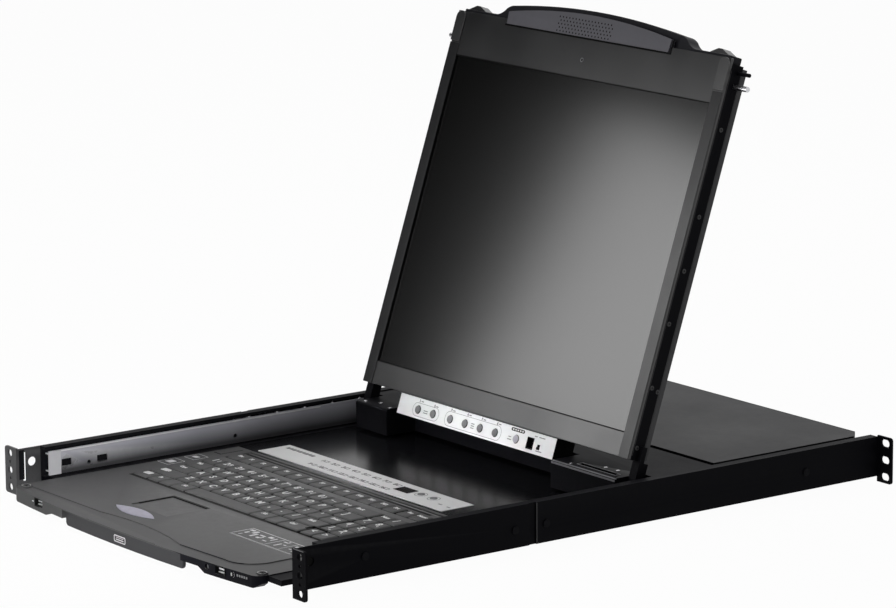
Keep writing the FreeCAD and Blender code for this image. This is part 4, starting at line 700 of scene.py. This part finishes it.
# ---------------------------------------------------------------- port strip
PORT_STEP = 16.3  # from one port's number to the next
ink, ink_soft = bmesh.new(), bmesh.new()
strip_top = islands("port_strip")[0][1][2]
STRIP_INK = strip_top - SINK, strip_top + STRIP_RISE
for n in range(9):
    x = n * 5.0
    slab(ink, -172 + x, 261.6 + (n % 2) * 0.5, -168.0 + x, 266.0, *STRIP_INK, radius=0.4)
for n in range(8):
    x = -111 + n * PORT_STEP
    for first, word_x, word_y, x0, y0, x1, y1 in (
            (1, 1.6, 261.0, 4, 259.0, 10.5, 263.4), (9, 3.2, 245.0, 7, 242.8, 13.5, 247.2)):
        letters(ink, str(n + first), x + word_x, word_y, 5.0, strip_top + STRIP_RISE)
        outline_band(ink, x + x0, y0, x + x1, y1, 0.9, *STRIP_INK, radius=1.0)
slab(ink_soft, 86, 248.2, 91.5, 250.4, *STRIP_INK, radius=0.5)
slab(ink_soft, 99.5, 247.6, 104.5, 249.6, *STRIP_INK, radius=0.5)
for node in ("port_button_back", "port_button_next"):
    (x0, y0, low), (x1, y1, high) = islands(node)[0]
    x, y = (x0 + x1) / 2, (y0 + y1) / 2
    ring(ink_soft, x, y, 6.3, 5.5, strip_top - 0.05, strip_top + 0.05)
    cap = bmesh.new()
    dome(cap, x, y, (x1 - x0) / 2, low, high, edge=0.12)
    made = piece(node + "_cap", cap, body_of_node(node), "button_grey")
    smooth(made)
    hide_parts(node)
piece("port_strip_marks", ink, "keyboard_module", "print_dark")
piece("port_strip_outlines", ink_soft, "keyboard_module", "print_grey")

# ---------------------------------------------------------------- front fascia
AHEAD = 60  # a start in front of the drawer for measuring


def fascia(x, z, node="palm_cover"):
    """How far a node's front is from the plane y = 0 at a place on it."""
    return AHEAD - touch(node, (x, -AHEAD, z), (0, 1, 0))


dashes, white, hollow, tongues = bmesh.new(), bmesh.new(), bmesh.new(), bmesh.new()
for n in range(5):
    x = n * 3.0
    front = fascia(161.5 + x, -12.4)
    slab(dashes, 161.0 + x, -13.4, 163.2 + x, -11.4, front - SINK, front + EDGE_RISE, FRONT, 0.3)
front = fascia(121.3, -12.7)
ring(dashes, 120.5, -13, 3.6, 3.0, front - 0.1, front + 0.12, FRONT, 24)
front = fascia(157.5, -13)
ring(white, 155.0, -13, 2.9, 2.1, front - 0.3, front + 0.1, FRONT, 24, hole_x=156.1)
front = fascia(-165, -13.2)
slab(white, -167.5, -13.8, -163.0, -12.8, front - 0.05, front + 0.06, FRONT, 0.3)
dome(white, -163.4, -13.3, 0.9, front - 0.05, front + 0.07, FRONT, 12)
front = fascia(-15, -17.5, "lower_handle")
outline_band(white, -24.6, -20.6, -6.1, -14.2, 1.0, front - 0.1, front + 0.12, FRONT, 1.6)
slab(white, -21.6, -18.6, -9.2, -17.6, front - 0.1, front + 0.1, FRONT, 0.3)
slab(white, -21.6, -16.6, -9.2, -16.0, front - 0.1, front + 0.1, FRONT, 0.2)
for (x0, y0, z0), (x1, y1, z1) in islands("usb_sockets"):
    mouth, lip = fascia((x0 + x1) / 2, z1 + 0.9), -y0
    # a black back wall deep in each socket as painted shade, a dark lining round the mouth, then the tongue, the
    # floor and the side of the shell
    slab(hollow, x0 + 0.3, z0 + 0.3, x1 - 0.3, z1 - 0.3, lip - 9.0, lip - 8.6, FRONT, 0.2)
    outline_band(hollow, x0 - 0.7, z0 - 0.7, x1 + 0.7, z1 + 0.7, 1.1, mouth - 8.0, mouth + RISE,
                 FRONT, 0.5)
    slab(tongues, x0 + 1.2, z0 + 3.3, x1 - 1.2, z0 + 5.2, lip - 8.8, lip - 0.3, FRONT, 0.2)
    slab(tongues, x0 + 0.6, z0 + 0.4, x1 - 0.6, z0 + 1.5, lip - 2.0, lip - 0.2, FRONT, 0.2)
    slab(tongues, x1 - 1.6, z0 + 0.5, x1 - 0.5, z0 + 5.2, lip - 1.4, lip - 0.2, FRONT, 0.2)
    for n in range(4):
        x = n * 2.5
        slab(hollow, x0 + 2.4 + x, z0 + 3.3, x0 + 3.5 + x, z0 + 3.62, lip - 7, lip - 0.5,
             FRONT, 0.1)
for side in ("left", "right"):
    node = "keyboard_catch_" + side
    (x0, _, _), (x1, y1, top) = islands(node)[0]
    x, y = (x0 + x1) / 2, y1 - 3.6
    rim, cap = bmesh.new(), bmesh.new()
    ring(rim, x, y, 4.2, 3.8, top - SINK, top + RISE, steps=20)
    piece("catch_rim_" + side, rim, body_of_node(node), "label_grey")
    # a black cap within the rim: painted shade of the catch's thumb recess
    slab(cap, x - 2.6, y - 2.4, x + 3.4, y + 2.5, top - SINK, top + 0.07, radius=1.6, steps=4)
    loft(cap, [(rounded(x - 0.4, y - 2.6, x + 3.8, y + 2.6, 1.6), top),
               (rounded(x - 0.2, y - 2.4, x + 3.6, y + 2.4, 1.6), top + 0.25),
               (rounded(x + 0.4, y - 1.8, x + 3.0, y + 1.8, 1.2), top + 0.4)])
    piece("catch_recess_shade_" + side, cap, body_of_node(node), "socket_black")
piece("fascia_marks", dashes, "keyboard_module", "print_grey")
piece("fascia_white_marks", white, "keyboard_module", "print_white")
piece("usb_backs", hollow, "keyboard_module", "socket_black")
piece("usb_tongues", tongues, "keyboard_module", "print_white")

# ---------------------------------------------------------------- screen controls
osd_ink, osd_dark, osd_light = bmesh.new(), bmesh.new(), bmesh.new()
FACE = -0.5
OSD_INK = FACE + 0.4, FACE + 0.55
for low, high, x0, x1 in ((-18.0, -5.0, -116.5, -75.6), (-18.3, -4.2, -66.0, 20.5)):
    outline_band(osd_ink, x0, low, x1, high, 0.4, *OSD_INK, PANEL, 6.4, 8)
for n, (x, up) in enumerate(((-108, -3.2), (-84.5, -4.0), (-58.3, -3.0), (-33.3, -2.7),
                             (-11.2, -2.9), (12.1, -2.8))):
    letters(osd_ink, str(n + 1), x, up, 2.3, FACE + 0.54, PANEL)
    slab(osd_ink, x + 2.0, up - 0.5, x + 5.6, up + 0.5, *OSD_INK, PANEL, 0.3)
for x, up, wide in ((-99.5, -11.0, 6.5), (-99.5, -13.0, 6.5), (-25.6, -9.6, 5), (-25.6, -11.6, 5),
                    (-25.6, -13.6, 5), (30.6, -13.3, 6), (31.6, -10.8, 4), (68.5, -3.9, 4),
                    (75, -3.9, 9), (74, -16.6, 9)):
    slab(osd_ink, x, up - 0.45, x + wide, up + 0.45, *OSD_INK, PANEL, 0.3)
slab(osd_dark, 33.4, -4.8, 53.4, -1.7, FACE + 0.4, FACE + 0.56, PANEL, 1.4)
for n in range(5):
    x = n * 3.5
    slab(osd_light, 35.4 + x, -3.9, 37.6 + x, -2.6, FACE + 0.5, FACE + 0.6, PANEL, 0.3)
for word in ("menu", "auto", "down", "up", "left", "right", "lock"):
    node = "osd_button_" + word
    cap_finish, side_shade_finish = (("lock_lavender", "print_grey") if word == "lock"
                               else ("button_grey", "print_dark"))
    low, high = extent(node, TILTED)
    mid = TO_PANEL @ (TILTED @ ((low + high) / 2)) / MM
    reach = (high - low).z / MM / 2
    ring(osd_dark, mid.x, mid.y, 4.15, 3.7, FACE + 0.46, FACE + 0.46 + 0.1, PANEL)
    cap = bmesh.new()
    dome(cap, mid.x, mid.y, (high - low).x / MM / 2, mid.z - reach, mid.z + reach, PANEL, 28, 0.12)
    made = piece(node + "_cap", cap, body_of_node(node), cap_finish)
    smooth(made)
    # the button's sides are darker than its top: painted shade
    paint(made, side_shade_finish, lambda spot, way: way.dot(OUT) < 0.3)
    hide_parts(node)
piece("osd_prints", osd_ink, "screen_panel", "print_grey")
piece("osd_dark_prints", osd_dark, "screen_panel", "print_dark")
piece("osd_light_prints", osd_light, "screen_panel", "print_white")

# ---------------------------------------------------------------- screen surround
holes = bmesh.new()
for line in range(5):
    for n in range(17):
        x, up = -46.5 + n * 4.75 + (line % 2) * 2.4, 363.6 + line * 3.3
        dome(holes, x, up, 0.85, 1.75, 1.86, PANEL, 10)
piece("grip_dimples", holes, "screen_panel", "socket_black")
seams = bmesh.new()
slab(seams, -126.5, 359.9, 119.5, 361.5, -0.1, 0.08, PANEL, 0.2)
slab(seams, 117.7, 360.5, 119.5, 374.5, -0.1, 0.08, PANEL, 0.2)
low, high = (TO_PANEL @ (TILTED @ corner) / MM for corner in extent("lcd_screen", TILTED))
outline_band(seams, low.x - 0.9, low.y - 0.9, high.x + 0.9, high.y + 0.9, 1.1, -1.3, 0.02,
             PANEL, 0.3)
piece("surround_seams", seams, "screen_panel", "socket_black")

# one screw in the bezel above the screen, with a dark socket; the bezel's face is measured from
# 50 mm in front of it
SCREW_M = PANEL @ Vector((-0.0019, 0.3407, 0.05))
BEZEL_FACE = 50 - touch("screen_bezel", SCREW_M / MM, -OUT)
rim, eye = bmesh.new(), bmesh.new()
dome(rim, -1.9, 340.7, 2.0, BEZEL_FACE - 0.1, BEZEL_FACE + 0.25, PANEL, 24)
dome(eye, -1.6, 340.7, 1.3, BEZEL_FACE + 0.1, BEZEL_FACE + 0.34, PANEL, 24)
piece("bezel_screw", rim, "screen_panel", "print_grey")
piece("bezel_screw_socket", eye, "screen_panel", "socket_black")

# cross-headed screws and seams on the panel's sides, up the panel and back from its front; the
# side is measured from 300 mm to the right of the panel's middle
heads, slots, seams = bmesh.new(), bmesh.new(), bmesh.new()
BESIDE_M = PANEL @ Vector((0.3, 0.2, -0.009))
SIDE = 300 - touch("screen_frame", BESIDE_M / MM, (-1, 0, 0))
for up, back in ((302.8, -8.6), (223.3, -9.2), (173.6, -8), (124.9, -6.5), (66.3, -6), (64, -13.4),
                 (11.5, -6.6), (10.7, -13.4)):
    for (a, b), place in (((up, back), PANEL_RIGHT_SIDE), ((back, up), PANEL_LEFT_SIDE)):
        dome(heads, a, b, 2.1, SIDE - 0.2, SIDE + 0.7, place, 20)
        for wide, tall in ((1.2, 0.25), (0.25, 1.2)):
            slab(slots, a - wide, b - tall, a + wide, b + tall, SIDE + 0.5, SIDE + 0.76, place, 0.1)
piece("panel_side_screws", heads, "screen_panel", "bracket_steel")
piece("panel_side_screw_slots", slots, "screen_panel", "socket_black")
for back in (-3.4, -15.4):
    slab(seams, 4, back - 0.2, 356, back + 0.2, SIDE - 0.1, SIDE + 0.06, PANEL_RIGHT_SIDE, 0.1)
piece("panel_side_seams", seams, "screen_panel", "bracket_steel")


# ---------------------------------------------------------------- rear sockets and covers
PANEL_REAR, COVER_BACK = 647.4, 22.9  # where their screws and posts start
inserts, contacts, nuts = bmesh.new(), bmesh.new(), bmesh.new()
for (x0, y0, z0), (x1, y1, z1) in islands("port_sockets"):
    x, z = -(x0 + x1) / 2, (z0 + z1) / 2
    slab(inserts, x - 8.0, z - 3.7, x + 8.0, z + 3.7, y1 - 0.6, y1 + 0.08, REAR, 2.2, 4)
    for row in range(3):
        for n in range(5):
            dome(contacts, x - 5.2 + n * 2.5 + row * 0.5, z - 2.1 + row * 2.1, 0.45,
                 y1 + 0.02, y1 + 0.2, REAR, 8)
    for side in (-12.6, 12.6):
        dome(nuts, x + side, z, 2.3, PANEL_REAR, 650.6, REAR, 6, 0.1)
piece("socket_inserts", inserts, "chassis", "socket_black")
piece("socket_contacts", contacts, "chassis", "contact_gold")
piece("socket_jackposts", nuts, "chassis", "bright_steel")

screws, slots = bmesh.new(), bmesh.new()
for x in (-188, -150, 150, 188):
    dome(screws, -x, 16.6, 2.4, 647.1, 648.3, REAR, 16)
    slab(slots, -x - 1.6, 16.3, -x + 1.6, 16.9, 648.2, 648.36, REAR, 0.1)
piece("rear_panel_screws", screws, "chassis", "bright_steel")
piece("rear_panel_screw_slots", slots, "chassis", "socket_black")
screws, ribs = bmesh.new(), bmesh.new()
for across, up in ([(x, y) for x in (-190, -95, 0, 95, 190) for y in (9, 352)]
                   + [(x, y) for y in (120, 236) for x in (-190, 190)]):
    dome(screws, across, up, 2.6, COVER_BACK, 23.8, PANEL_BACK, 16)
outline_band(ribs, -168, 34, 168, 326, 3.0, COVER_BACK, 23.5, PANEL_BACK, 12)
for across in (-50, 50):
    for up in (130, 230):
        outline_band(ribs, across - 5, up - 5, across + 5, up + 5, 1.2, COVER_BACK, 23.4,
                     PANEL_BACK, 5)
piece("back_cover_screws", screws, "screen_panel", "bright_steel")
piece("back_cover_ribs", ribs, "screen_panel", "back_steel")

# ---------------------------------------------------------------- chassis, rails and deck
# a painted highlight: a white strip along the upper edge on the inner side of each carriage rail
for name, side, place in (("left", -1, FROM_LEFT_IN), ("right", 1, FROM_RIGHT_IN)):
    (_, start, _), (_, _, top) = islands("carriage_rail_" + name)[0]
    start += 13
    near, far = (start, 330) if side < 0 else (-330, -start)
    face = -touch("carriage_rail_" + name, (0, 100, top - 1.1), (side, 0, 0))
    edge = bmesh.new()
    slab(edge, near, top - 1.7, far, top - 0.5, face - SINK, face + 0.06, place, 0.1)
    piece("rail_highlight_" + name, edge, "screen_carriage", "housing_white")
# the left bracket's fold as a painted shadow, and painted highlights along the right ear's upper edge and the
# right plate's front edge
fold, ear = bmesh.new(), bmesh.new()
inner = islands("front_bracket_left")[0][1][0]
slab(fold, 1.0, -8.0, 6.6, 19.5, inner - SINK, inner + EDGE_RISE, FROM_LEFT_IN, 0.3)
piece("bracket_fold_shadow_left", fold, "chassis", "black_steel")
(x0, y0, _), (x1, _, top) = islands("front_bracket_right")[0]
slab(ear, x0 + 1.5, top - 0.75, x1 - 3, top - 0.15, -y0 - SINK, -y0 + EDGE_RISE, FRONT, 0.2)
piece("ear_edge_highlight_right", ear, "chassis", "print_grey")
start = islands("rear_bracket_right")[0][0][1]
OUTSIDE = 500  # a start to the right of the drawer for measuring
reach = OUTSIDE - touch("rear_bracket_right", (OUTSIDE, start + 4, 0), (-1, 0, 0))
edge, hole_shade = bmesh.new(), bmesh.new()
slab(edge, start + 0.3, -16.2, start + 1.1, 20.4, reach - 0.1, reach + 0.06, FROM_LEFT_IN, 0.1)
piece("plate_edge_highlight_right", edge, "chassis", "bracket_steel")
# a black disc behind the right lock hole: painted shade, so that the hole looks dark
loft(hole_shade, [(circle(15, 7.6, 4.2, 28), x) for x in (221.75, 222.25)], FROM_LEFT_IN)
piece("lock_hole_shade_right", hole_shade, "chassis", "socket_black")
# the deck's folded lip as a lighter steel strip, a painted highlight, then the rim of its slot, and its screws
ABOVE = 60  # a start over the deck for measuring
DECK_TOP = ABOVE - touch("carriage_deck", (150, 364, ABOVE), (0, 0, -1))
DECK_FACE = islands("carriage_deck")[0][0][1]
lip, slot_edge, screws = bmesh.new(), bmesh.new(), bmesh.new()
slab(lip, 107, DECK_FACE + 0.8, 198, DECK_FACE + 2.6, DECK_TOP - 0.8, DECK_TOP + 0.08, FLAT, 0.3)
slab(lip, 107, DECK_TOP - 2.7, 198, DECK_TOP - 1.1, -DECK_FACE - 0.5, -DECK_FACE + 0.06, FRONT, 0.3)
piece("deck_lip_highlight", lip, "screen_carriage", "lip_steel_highlight")
outline_band(slot_edge, 132.2, 369.3, 187.8, 376.7, 0.9, DECK_TOP - SINK, DECK_TOP + 0.07,
             radius=0.8)
for x, y in ((128, 366.4), (160, 381), (176, 382), (-150, 367), (-172, 372), (-188, 366)):
    dome(screws, x, y, 1.8, DECK_TOP - 0.1, DECK_TOP + 0.6, FLAT, 18)
piece("deck_slot_edges", slot_edge, "screen_carriage", "print_grey")
piece("deck_screws", screws, "screen_carriage", "bright_steel")


# ---------------------------------------------------------------- studio
FLOOR_RADIUS_M, FLOOR_GAP_M = 14.0, 0.0005
FLOOR_GLOW = 0.97  # how much of the floor's look, where it is seen, is its own even white
FILL_STRENGTH = 0.10


def make_floor(low):
    """Pale floor that stays white behind the object and keeps its shadow."""
    made = bpy.data.materials.new("studio_floor")
    made.use_nodes = True
    nodes, links = made.node_tree.nodes, made.node_tree.links
    nodes.clear()
    seen = seen_directly(nodes, links)
    matte, glow = nodes.new("ShaderNodeBsdfDiffuse"), nodes.new("ShaderNodeEmission")
    matte.inputs["Color"].default_value = (0.9, 0.9, 0.9, 1)
    mix = nodes.new("ShaderNodeMixShader")
    links.new(math_node(nodes, links, "MULTIPLY", seen, FLOOR_GLOW), mix.inputs[0])
    links.new(matte.outputs[0], mix.inputs[1])
    links.new(glow.outputs[0], mix.inputs[2])
    links.new(mix.outputs[0], nodes.new("ShaderNodeOutputMaterial").inputs["Surface"])
    bm = bmesh.new()
    bmesh.ops.create_circle(bm, cap_ends=True, segments=64, radius=FLOOR_RADIUS_M)
    floor = add_mesh("floor", bm, made)
    floor.location = (0, 0.3, low - FLOOR_GAP_M)


def make_world():
    """White where it is seen, and only a weak grey fill as light."""
    world = bpy.data.worlds.new("studio")
    bpy.context.scene.world = world
    world.use_nodes = True
    nodes, links = world.node_tree.nodes, world.node_tree.links
    nodes.clear()
    seen = seen_directly(nodes, links)
    fill, white = nodes.new("ShaderNodeBackground"), nodes.new("ShaderNodeBackground")
    fill.inputs["Strength"].default_value = FILL_STRENGTH
    white.inputs["Color"].default_value = (1, 1, 1, 1)
    mix = nodes.new("ShaderNodeMixShader")
    links.new(seen, mix.inputs[0])
    links.new(fill.outputs[0], mix.inputs[1])
    links.new(white.outputs[0], mix.inputs[2])
    links.new(mix.outputs[0], nodes.new("ShaderNodeOutputWorld").inputs["Surface"])


def add_lamp(name, spot, aim, size, power, tall=None, spread=180):
    """Area lamp at a spot, aimed at another, in metres and watts, with its spread in degrees."""
    lamp = bpy.data.lights.new(name, "AREA")
    lamp.shape = "RECTANGLE"
    lamp.size, lamp.size_y = size, tall or size
    lamp.energy, lamp.spread = power, math.radians(spread)
    made = add_object(name, lamp)
    made.location = spot
    made.rotation_euler = (Vector(aim) - Vector(spot)).to_track_quat("-Z", "Y").to_euler()
    return made


CAMERA_SPOT_M = (3.11675, -1.9819, 0.95433)
CAMERA_TURN = (53.49, -11.71, -0.37)  # yaw from straight ahead, pitch and roll, in degrees
SENSOR_WIDTH, FOCAL_LENGTH = 36.0, 174.97


def make_camera():
    """Long lens, in front of the drawer and to its right, a little above it."""
    lens = bpy.data.cameras.new("camera")
    lens.sensor_width, lens.lens = SENSOR_WIDTH, FOCAL_LENGTH
    camera = add_object("camera", lens)
    yaw, pitch, roll = (math.radians(angle) for angle in CAMERA_TURN)
    flat = math.cos(pitch)
    ahead = Vector((-math.sin(yaw) * flat, math.cos(yaw) * flat, math.sin(pitch)))
    side = Vector((math.cos(yaw), math.sin(yaw), 0))
    over = side.cross(ahead)
    right = side * math.cos(roll) + over * math.sin(roll)
    above = over * math.cos(roll) - side * math.sin(roll)
    turn = Matrix((right, above, -ahead)).transposed()
    camera.matrix_world = Matrix.Translation(CAMERA_SPOT_M) @ turn.to_4x4()
    bpy.context.scene.camera = camera


def add_flag(name, spot, aim, width, tall):
    """Black card, in mm, that only reflections see, so that gloss stays dark beside a lamp."""
    black = bpy.data.materials.new(name)
    black.use_nodes = True
    shader = black.node_tree.nodes["Principled BSDF"]
    shader.inputs["Base Color"].default_value = (0, 0, 0, 1)
    shader.inputs["Specular IOR Level"].default_value = 0
    bm = bmesh.new()
    corner, thick = 20, 4
    card_outline = rounded(-width / 2, -tall / 2, width / 2, tall / 2, corner)
    loft(bm, [(card_outline, low) for low in (-thick, 0)])
    card = add_mesh(name, bm, black)
    card.location = spot
    card.rotation_euler = (Vector(aim) - Vector(spot)).to_track_quat("Z", "Y").to_euler()
    card.visible_camera = card.visible_diffuse = False
    card.visible_shadow = card.visible_transmission = False


make_floor(CAD_BOX[0][2])
make_world()
add_lamp("top_softbox", (-0.4, 0.6, 2.4), (0, 0.3, 0), 2.4, 27)
add_lamp("front_softbox", (-0.6, -2.2, 0.9), (0.0, 0.3, 0.05), 0.8, 9)
add_lamp("rail_lamp", (0.9, -0.6, 0.36), (-0.22, 0.03, 0.0), 0.2, 0.10, spread=16)
add_lamp("control_lamp", (0.25, -1.1, 0.25), (-0.02, 0.36, 0.03), 0.15, 0.13, spread=16)
gleam = add_lamp("screen_lamp", (-0.435, -0.159, 0.334), (0.226, 0.409, 0.144), 0.384, 2.5, 0.376)
gleam.visible_diffuse = False
add_flag("screen_flag", (-0.93, -0.31, 0.42), (0.0, 0.40, 0.16), 1700, 1300)
make_camera()
bpy.context.scene.view_settings.view_transform = "Standard"
